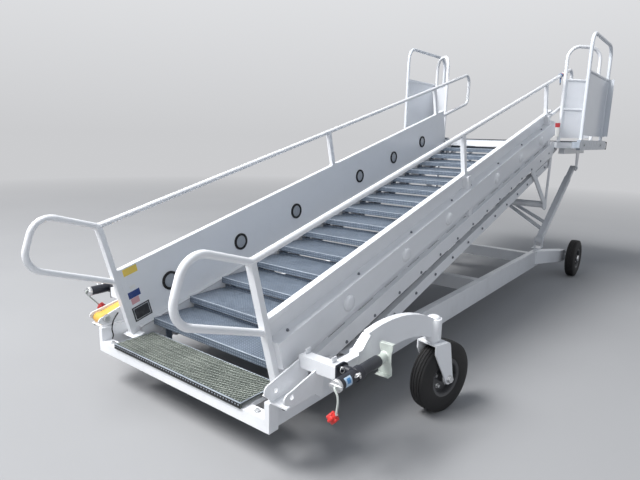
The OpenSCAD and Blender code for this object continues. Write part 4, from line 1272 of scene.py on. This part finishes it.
@dataclass
class Landing:
    """The base: landing mesh, sill fittings, cable lead, left hitch bracket and tow bar."""

    kit: Kit
    half: float = 0.518
    front: float = -0.008
    rear: float = 0.250
    top: float = 0.288
    diamond: float = 0.0100
    floor: float = 0.345
    hitch_rear: float = 0.260
    bolt_walls: tuple[float, float] = (0.675, 0.7925)
    bolt_at: tuple[float, float] = (0.040, 0.395)
    sill_bolt: Point = (0.590, 0.030, 0.263)
    drain_at: tuple[float, float] = (0.760, 0.020)
    cable_r: float = 0.0040
    cable: tuple[Point, ...] = ((-0.6845, 0.122, 0.404), (-0.670, 0.108, 0.404), (-0.663, 0.078, 0.372),
                                (-0.661, 0.064, 0.325), (-0.661, 0.070, 0.285), (-0.661, 0.062, 0.258))

    def build(self) -> None:
        """Builds the landing and what is fixed to the base."""
        self._mesh()
        self._frame()
        self._lip()
        self._hitch()
        self._sill_fittings()
        self._cable()
        self._left_bracket()
        self._tow_bar()

    def _mesh(self) -> None:
        """Raised expanded mesh over the landing."""
        spots = [(x, y, self.top + 0.0014)
                 for x in spread(-self.half + 0.014, self.half - 0.014, self.diamond * 2)
                 for y in spread(self.front + 0.034, self.rear - 0.024, self.diamond * 4)]
        self.kit.diamonds.grow("landing_mesh", spots, self.kit.looks.grating, SURVEY.base(), "base",
                               Reach=self.diamond, Bar=0.0013, Shape=(1.0, 2.0, 1.8))

    def _frame(self) -> None:
        """Flat frame round the mesh."""
        frame = Solid()
        low, high = self.top, self.top + 0.003
        inner = self.front + 0.008
        frame.box((-self.half, self.front, low), (self.half, inner, high))
        frame.box((-self.half, self.rear - 0.005, low), (self.half, self.rear, high))
        for x in (self.half - 0.005, -self.half):
            frame.box((x, inner, low), (x + 0.005, self.rear - 0.005, high))
        frame.fit("landing_frame", self.kit.looks.edge, "base", 0.0006)

    def _lip(self) -> None:
        """Dark plate that paints the shadow along the front lip, with a row of teeth whose lighter finish
        paints their highlight.
        """
        band = Solid()
        band.box((-self.half + 0.002, self.front - 0.0012, self.top - 0.020),
                 (self.half - 0.002, self.front, self.top - 0.001))
        band.fit("landing_lip_band", self.kit.looks.dark, "base")
        teeth = [(x, self.front - 0.0014, self.top - 0.008)
                 for x in spread(-self.half + 0.012, self.half - 0.012, 0.020)]
        self.kit.blocks.grow("landing_lip_teeth", teeth, self.kit.looks.edge, SURVEY.base(), "base",
                             Size=(0.008, 0.0012, 0.005))

    def _hitch(self) -> None:
        """The tow bar's bolt heads, on both walls of the left bracket."""
        place = Side.LEFT.mirror @ SURVEY.base()
        for name, x, way in zip(("inner", "outer"), self.bolt_walls, (-1.0, 1.0)):
            self.kit.bolts(f"tow_bar_bolt_{name}", [(x, *self.bolt_at)], place, "base",
                           head=(0.0200, 0.014), washer=(0.0235, 0.003), Axis=(way, 0.0, 0.0))

    def _sill_fittings(self) -> None:
        """Bolts in the sill's corner pockets and black drain caps."""
        for side in Side:
            place = side.mirror @ SURVEY.base()
            self.kit.bolts("sill_bolt_" + side.label, [self.sill_bolt], place, "base",
                           head=(0.0105, 0.009), washer=(0.016, 0.002), Axis=ALONG_Z)
            cap = Solid(place)
            cap.rod((*self.drain_at, 0.3455), (*self.drain_at, 0.338), 0.011, 20, 0.002)
            cap.fit("drain_cap_" + side.label, self.kit.looks.rubber, "base")

    def _cable(self) -> None:
        """Short black lead between the left hitch bracket and the sill, fixed at both ends."""
        cable = Solid()
        cable.tube(smooth_path([Vector(knot) for knot in self.cable]), self.cable_r, 10)
        cable.fit("sill_cable", self.kit.looks.rubber, "base", smooth=60)

    def _left_bracket(self) -> None:
        """The left hitch bracket, whose inner wall is cut lower than the right one's for the tow bar."""
        floor, rear, beam_x, outer_x = self.floor, self.hitch_rear, 0.672, 0.784
        front, nose_r, thick = -0.006, 0.028, 0.008
        bracket = Solid(Side.LEFT.mirror @ SURVEY.base())
        # Inner face of the wall, its height at the nose and at the rear.
        for x, nose, back in ((0.684, 0.400, 0.462), (0.776, 0.418, 0.458)):
            outline = [(front + 0.040, floor + 0.002), (rear, floor + 0.002), (rear, 0.445), (0.200, 0.445),
                       (0.200, back)]
            arc = [math.radians(98 + 82 * k / 8) for k in range(9)]
            outline += [(front + nose_r + nose_r * math.cos(a), nose - nose_r + nose_r * math.sin(a))
                        for a in arc]
            bracket.prism(outline, x, x + thick)
        bracket.box((beam_x, 0.008, floor), (outer_x, rear, floor + thick))
        bracket.prism([(0.200, floor), (rear, floor), (rear, floor - 0.035), (rear - 0.012, floor - 0.035)],
                      beam_x, outer_x)
        bracket.fit("hitch_bracket_low_wall_left", self.kit.looks.white, "base", 0.0012,
                    stands_for="hitch_bracket_left")

    def _tow_bar(self) -> None:
        """Square yellow tube of the tow bar, with its rounded eye filling the bracket."""
        bar = Solid(Side.LEFT.mirror @ SURVEY.base())
        arc = [math.radians(100 + 150 * k / 12) for k in range(13)]
        eye = [(0.200, 0.372), (0.200, 0.450), (0.060, 0.409)]
        eye += [(0.040 + 0.030 * math.cos(a), 0.379 + 0.030 * math.sin(a)) for a in arc]
        bar.prism(eye, 0.6935, 0.7745)
        bar.box((0.696, 0.190, 0.372), (0.772, 0.610, 0.432))
        bar.fit("tow_bar_square_tube", self.kit.looks.yellow, "base", 0.004, stands_for="tow_bar")


@dataclass
class Jack:
    """One stowed jack: black tube with its gear head, label, pull pin and crank, and the leg's foot."""

    kit: Kit
    side: Side
    x: float = 0.970
    z: float = 0.485
    front: float = 0.100
    back: float = 0.418
    foot: float = 0.480
    radius: float = 0.028
    crank_y: float = 0.078
    crank_back: float = 40.0

    @property
    def place(self) -> Matrix:
        """Matrix from survey places to the frame, on this side."""
        return self.side.mirror @ SURVEY.base()

    @property
    def body(self) -> str:
        """Name of the jack's own body."""
        return "jack_" + self.side.label

    def build(self) -> None:
        """Builds the jack on its two bodies."""
        self._tube()
        self._label()
        self._gear_head()
        self._crank()
        self._leg()

    def _tube(self) -> None:
        """Black tube on its swivel plate, in place of the CAD node."""
        x, z, r = self.x, self.z, self.radius
        far = self.back - self.front
        tube = Solid(self.place)
        tube.lathe([(0.0, r), (0.002, r), (far - 0.002, r), (far, r - 0.001), (far, r - 0.005),
                    (0.0, r - 0.005)], (x, self.front, z), ALONG_Y, 48, ring=True)
        arc = [math.pi * k / 16 for k in range(17)]
        plate = [(0.200, 0.437), (0.254, 0.437)]
        plate += [(0.250 + 0.040 * math.sin(a), 0.475 - 0.040 * math.cos(a)) for a in arc]
        plate += [(0.200, 0.515)]
        tube.prism(plate, 0.8903, 0.9003)
        tube.rod((0.9003, 0.250, z), (x - r + 0.0045, 0.250, z), 0.020, 32)
        tube.lathe([(0.0, r - 0.001), (0.0, r + 0.003), (0.002, r + 0.0045), (0.042, r + 0.0045),
                    (0.044, r + 0.003), (0.044, r - 0.001)], (x, 0.228, z), ALONG_Y, 48, ring=True)
        tube.fit("jack_body_" + self.side.label, self.kit.looks.black, self.body, 0.0008,
                 stands_for="jack_tube_" + self.side.label)

    def _label(self) -> None:
        """Blank sticker bent round the tube's outer side, pale with a blue field."""
        looks, r = self.kit.looks, self.radius
        # Name, along the tube from and to, angles round it from and to, height over it, look.
        for name, y0, y1, a0, a1, lift, worn in (
                ("pale", 0.132, 0.176, -0.55, 1.10, 0.0005, looks.pale_label),
                ("blue", 0.142, 0.166, 0.00, 0.85, 0.0008, looks.blue_label)):
            label = Solid(self.place)
            label.patch([(y0, r - 0.0005), (y1, r - 0.0005), (y1, r + lift), (y0, r + lift)],
                        (self.x, 0.0, self.z), a0, a1)
            label.fit(f"jack_label_{name}_{self.side.label}", worn, self.body)

    def _gear_head(self) -> None:
        """Gear head with its cap, the pull pin's rings and the swivel's hair pin."""
        x, z, r = self.x, self.z, self.radius
        bright = Solid(self.place)
        bright.lathe([(-0.004, 0.006), (-0.004, r - 0.002), (-0.0025, r - 0.0005), (0.003, r + 0.002),
                      (0.010, r + 0.002), (0.0115, r + 0.0008), (0.0115, r - 0.0045), (0.0, 0.006)],
                     (x, self.front - 0.003, z), ALONG_Y, 48, ring=True)
        bright.box((x - 0.030, self.front - 0.012, z - 0.0045), (x + 0.036, self.front - 0.006, z + 0.0085))
        out = Vector((math.cos(0.55), 0.0, math.sin(0.55)))
        middle = Vector((x, 0.208, z))
        bright.rod(middle + out * (r - 0.001), middle + out * (r + 0.014), 0.0075, 20, 0.001)
        bright.rod(middle + out * (r + 0.013), middle + out * (r + 0.021), 0.0045, 16, 0.001)
        ring_1 = middle + out * (r + 0.019) + Vector((0.0, -0.013, 0.0))
        bright.torus(ring_1, (0.55, 0.25, -0.80), 0.0150, 0.0019)
        ring_2 = middle + out * (r + 0.012) + Vector((0.0, 0.014, -0.008))
        bright.torus(ring_2, (0.85, 0.40, 0.35), 0.0125, 0.0016)
        bright.rod((0.9000, 0.226, 0.500), (0.9160, 0.226, 0.500), 0.0060, 20, 0.001)
        bright.torus((0.9150, 0.219, 0.493), (0.90, -0.30, 0.25), 0.0110, 0.0017)
        bright.fit("jack_bright_parts_" + self.side.label, self.kit.looks.zinc, self.body, smooth=50)

    def _crank(self) -> None:
        """Bent crank with its red star knob; the left one was left swung back under the jack."""
        x, y, z = self.x, self.crank_y, self.z
        label, looks = self.side.label, self.kit.looks
        place, low = self.place, z - 0.110
        if self.side is Side.LEFT:
            pivot = Matrix.Translation((x, y, z))
            swing = Matrix.Rotation(math.radians(self.crank_back), 4, "X")
            place = place @ (pivot @ swing @ pivot.inverted())
            low = z - 0.135
        knots = [Vector((x, self.front - 0.008, z)), Vector((x + 0.006, 0.080, z - 0.004)),
                 Vector((x + 0.023, y, z - 0.028)), Vector((x + 0.025, y, z - 0.062)),
                 Vector((x + 0.019, y, low))]
        arm = Solid(place)
        arm.tube(smooth_path(knots), 0.0045, 14)
        arm.fit("jack_crank_" + label, looks.foot, self.body, smooth=60)
        start = Vector((x + 0.020, y, low - 0.003))
        way = Vector((-0.70, -0.05, -0.72)).normalized()
        knob = Solid(place)
        knob.lathe([(0.003, 0.007), (0.007, 0.014), (0.013, 0.0195), (0.023, 0.0215), (0.033, 0.0200),
                    (0.041, 0.0145), (0.046, 0.007)], start, way, 24)
        side = way.orthogonal().normalized()
        other = way.cross(side)
        for a in turns(6):
            lobe = start + (side * math.cos(a) + other * math.sin(a)) * 0.016
            knob.rod(lobe + way * 0.007, lobe + way * 0.040, 0.0080, 12, 0.0025)
        knob.fit("jack_knob_" + label, looks.red, self.body, smooth=50)
        pin = Solid(place)
        pin.rod(start - way * 0.006, start + way * 0.051, 0.0042, 16, 0.001)
        pin.fit("jack_knob_pin_" + label, looks.zinc, self.body)

    def _leg(self) -> None:
        """Inner tube and the pressed foot plate, waisted and folded at both ends, for the CAD node."""
        x, z, y = self.x, self.z - 0.010, self.foot
        inner, half, left, right = self.radius - 0.0055, 0.076, 0.940, 1.011
        leg = Solid(self.place)
        leg.rod((x, self.front + 0.062, self.z), (x, y + 0.002, self.z), inner, 40, 0.001)
        leg.wall([(left, z - half), (right, z - half), (right, z - half + 0.030), (right - 0.006, z - 0.020),
                  (right - 0.006, z + 0.030), (right, z + half - 0.020), (right, z + half), (left, z + half),
                  (left, z + half - 0.020), (left + 0.008, z + 0.030), (left + 0.008, z - 0.020),
                  (left, z - half + 0.030)], y, y + 0.005)
        leg.box((left, y - 0.030, z - half), (right, y + 0.001, z - half + 0.004))
        leg.box((left, y + 0.004, z + half - 0.004), (right, y + 0.024, z + half))
        leg.lathe([(0.001, inner + 0.007), (0.001, inner - 0.001), (-0.006, inner - 0.001)],
                  (x, y, self.z), ALONG_Y, 40, ring=True)
        leg.fit("jack_leg_pressed_foot_" + self.side.label, self.kit.looks.foot,
                "jack_leg_" + self.side.label, 0.0008, stands_for="jack_foot_" + self.side.label)


@dataclass
class Platform:
    """Platform fittings: bolts, stops and feet of the sliding guards, and a blank sign."""

    kit: Kit
    bolts_y: tuple[float, float] = (4.172, 4.994)
    channel: tuple[float, float] = (0.975, 1.460)
    stop: tuple[Point, Point] = ((0.9440, 5.2640, 1.4200), (0.9660, 5.2760, 1.5000))
    posts_y: tuple[float, float] = (4.067, 5.033)
    foot_half: float = 0.030
    sign_x: tuple[float, float] = (0.612, 0.668)
    sign_y: float = 4.430

    def build(self) -> None:
        """Builds the fittings on the sliding guards and on the platform."""
        for side in Side:
            self._guard(side)
        self._sign()

    def _guard(self, side: Side) -> None:
        """Channel bolts, black end stop and post feet of one sliding guard.

        Args:
            side: The guard's side.
        """
        place = side.mirror @ SURVEY.base()
        body, looks = "sliding_guard_" + side.label, self.kit.looks
        x, z = self.channel
        self.kit.bolts("guard_channel_bolts_" + side.label, [(x, y, z) for y in self.bolts_y], place,
                       body, head=(0.0105, 0.007))
        stop = Solid(place)
        stop.box(*self.stop)
        stop.fit("guard_end_stop_" + side.label, looks.rubber, body, 0.001)
        feet = Solid(place)
        for y in self.posts_y:
            feet.box((0.9425, y - self.foot_half, 1.5075), (0.9745, y + self.foot_half, 1.5135))
        feet.fit("guard_feet_" + side.label, looks.zinc, body, 0.0008)

    def _sign(self) -> None:
        """Blank red and white plate beside the right corner guard's post, on two brackets."""
        looks, (x0, x1), y = self.kit.looks, self.sign_x, self.sign_y
        for name, z0, z1, worn in (("white", 1.536, 1.636, looks.white_label),
                                   ("red", 1.636, 1.680, looks.red_label)):
            plate = Solid()
            plate.box((x0, y, z0), (x1, y + 0.003, z1))
            plate.fit("blank_sign_" + name, worn, "platform")
        bracket = Solid()
        for z in (1.570, 1.646):
            bracket.box((0.634, y + 0.0025, z - 0.007), (0.648, y + 0.036, z + 0.007))
        bracket.fit("blank_sign_brackets", looks.zinc, "platform")


@dataclass(frozen=True)
class Lamp:
    """A square lamp that looks at the machine."""

    name: str
    place: Point
    size: float
    power: float


@dataclass
class Studio:
    """Camera, floor and light."""

    camera_at: Point = (2.095, -4.0769, 1.482)
    turn: float = math.radians(37.686)
    dip: float = math.radians(11.355)
    roll: float = math.radians(1.40)
    lens: float = 29.0
    floor_dark: Colour = (0.295, 0.296, 0.302)
    floor_light: Colour = (0.315, 0.316, 0.322)
    floor_reach: float = 40.0
    fade: tuple[float, float] = (3.4, 15.0)
    horizon: Colour = (0.60, 0.605, 0.62)
    zenith: Colour = (0.80, 0.81, 0.83)
    sky: Colour = (0.80, 0.88, 1.0)
    sky_strength: float = 0.42
    aim: Point = (0.0, 0.0, 0.8)
    lamps: tuple[Lamp, ...] = (Lamp("key", (-4.2, -8.0, 11.5), 6.5, 3300.0),
                               Lamp("fill", (5.0, -7.0, 4.5), 4.0, 70.0))

    def build(self) -> None:
        """Sets up the picture."""
        self._camera()
        self._floor()
        self._world()
        self._lamps()

    def _camera(self) -> None:
        """The camera at the photograph's place, height and angle."""
        ahead = Vector((-math.sin(self.turn) * math.cos(self.dip), math.cos(self.turn) * math.cos(self.dip),
                        -math.sin(self.dip)))
        across = Vector((math.cos(self.turn), math.sin(self.turn), 0.0))
        up = across.cross(ahead)
        right = across * math.cos(self.roll) + up * math.sin(self.roll)
        top = up * math.cos(self.roll) - across * math.sin(self.roll)
        matrix = Matrix((right, top, -ahead)).transposed().to_4x4()
        matrix.translation = Vector(self.camera_at)
        data = bpy.data.cameras.new("photo_view")
        data.sensor_width = 36.0
        data.lens = self.lens
        data.clip_end = 100.0
        camera = bpy.data.objects.new("photo_view", data)
        camera.matrix_world = matrix
        bpy.context.scene.collection.objects.link(camera)
        bpy.context.scene.camera = camera

    def _floor(self) -> None:
        """A plain pale floor that fades into the background far away."""
        n = Nodes("studio_floor")
        tone = n.ramp(n.noise(0.6, 2.0), 0.3, 0.7)
        colour = n.mix(tone, self.floor_dark, self.floor_light)
        axes = n.axes()
        span = n.math("SQRT", n.math("ADD", *(n.math("MULTIPLY", axes[k], axes[k]) for k in "XY")))
        seen = n.add("ShaderNodeLightPath").outputs["Is Camera Ray"]
        fade = n.math("MULTIPLY", n.ramp(span, *self.fade), seen)
        ground = n.add("ShaderNodeBsdfPrincipled", {"Base Color": colour, "Roughness": 0.85})
        glow = n.add("ShaderNodeEmission", {"Color": self.horizon, "Strength": 1.0})
        both = n.add("ShaderNodeMixShader", {0: fade, 1: ground.outputs[0], 2: glow.outputs[0]})
        n.add("ShaderNodeOutputMaterial", {"Surface": both.outputs[0]})
        data = bpy.data.meshes.new("studio_floor")
        far = self.floor_reach
        data.from_pydata([(-far, -far, 0), (far, -far, 0), (far, far, 0), (-far, far, 0)], [], [(0, 1, 2, 3)])
        data.materials.append(n.material)
        floor = bpy.data.objects.new("studio_floor", data)
        bpy.context.scene.collection.objects.link(floor)

    def _world(self) -> None:
        """Soft light from all round, and a pale background where the camera looks past the floor."""
        world = bpy.data.worlds.new("studio")
        world.use_nodes = True
        world.node_tree.nodes.clear()
        g = Graph(world.node_tree)
        rays = g.add("ShaderNodeLightPath").outputs
        bent = g.math("MAXIMUM", rays["Is Glossy Ray"], rays["Is Transmission Ray"])
        seen = g.math("MAXIMUM", rays["Is Camera Ray"], bent)
        soft = g.add("ShaderNodeBackground", {"Color": self.sky, "Strength": self.sky_strength})
        way = g.add("ShaderNodeTexCoord").outputs["Generated"]
        up = g.add("ShaderNodeSeparateXYZ", {0: way}).outputs["Z"]
        rise = g.add("ShaderNodeMapRange", {"Value": up, "From Max": 0.35}).outputs[0]
        colour = g.mix(rise, self.horizon, self.zenith)
        pale = g.add("ShaderNodeBackground", {"Color": colour, "Strength": 1.0})
        mix = g.add("ShaderNodeMixShader", {0: seen, 1: soft.outputs[0], 2: pale.outputs[0]})
        g.add("ShaderNodeOutputWorld", {"Surface": mix.outputs[0]})
        bpy.context.scene.world = world

    def _lamps(self) -> None:
        """A large key lamp high on the left and a weak fill in front."""
        for lamp in self.lamps:
            data = bpy.data.lights.new(lamp.name, "AREA")
            data.shape = "SQUARE"
            data.size = lamp.size
            data.energy = lamp.power
            made = bpy.data.objects.new(lamp.name, data)
            made.location = lamp.place
            way = Vector(self.aim) - Vector(lamp.place)
            made.rotation_euler = way.to_track_quat("-Z", "Y").to_euler()
            bpy.context.scene.collection.objects.link(made)


def main() -> None:
    """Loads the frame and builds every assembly."""
    logging.basicConfig(level=logging.INFO, format="%(name)s: %(message)s")
    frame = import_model()
    bpy.context.scene.view_settings.view_transform = "Standard"
    kit = Kit()
    Studio().build()
    kit.looks.dress(frame["nodes"])
    for assembly in (Running(kit), Flight(kit), Steps(kit), Landing(kit), Jack(kit, Side.RIGHT),
                     Jack(kit, Side.LEFT), Platform(kit)):
        assembly.build()


if __name__ == "__main__":
    main()
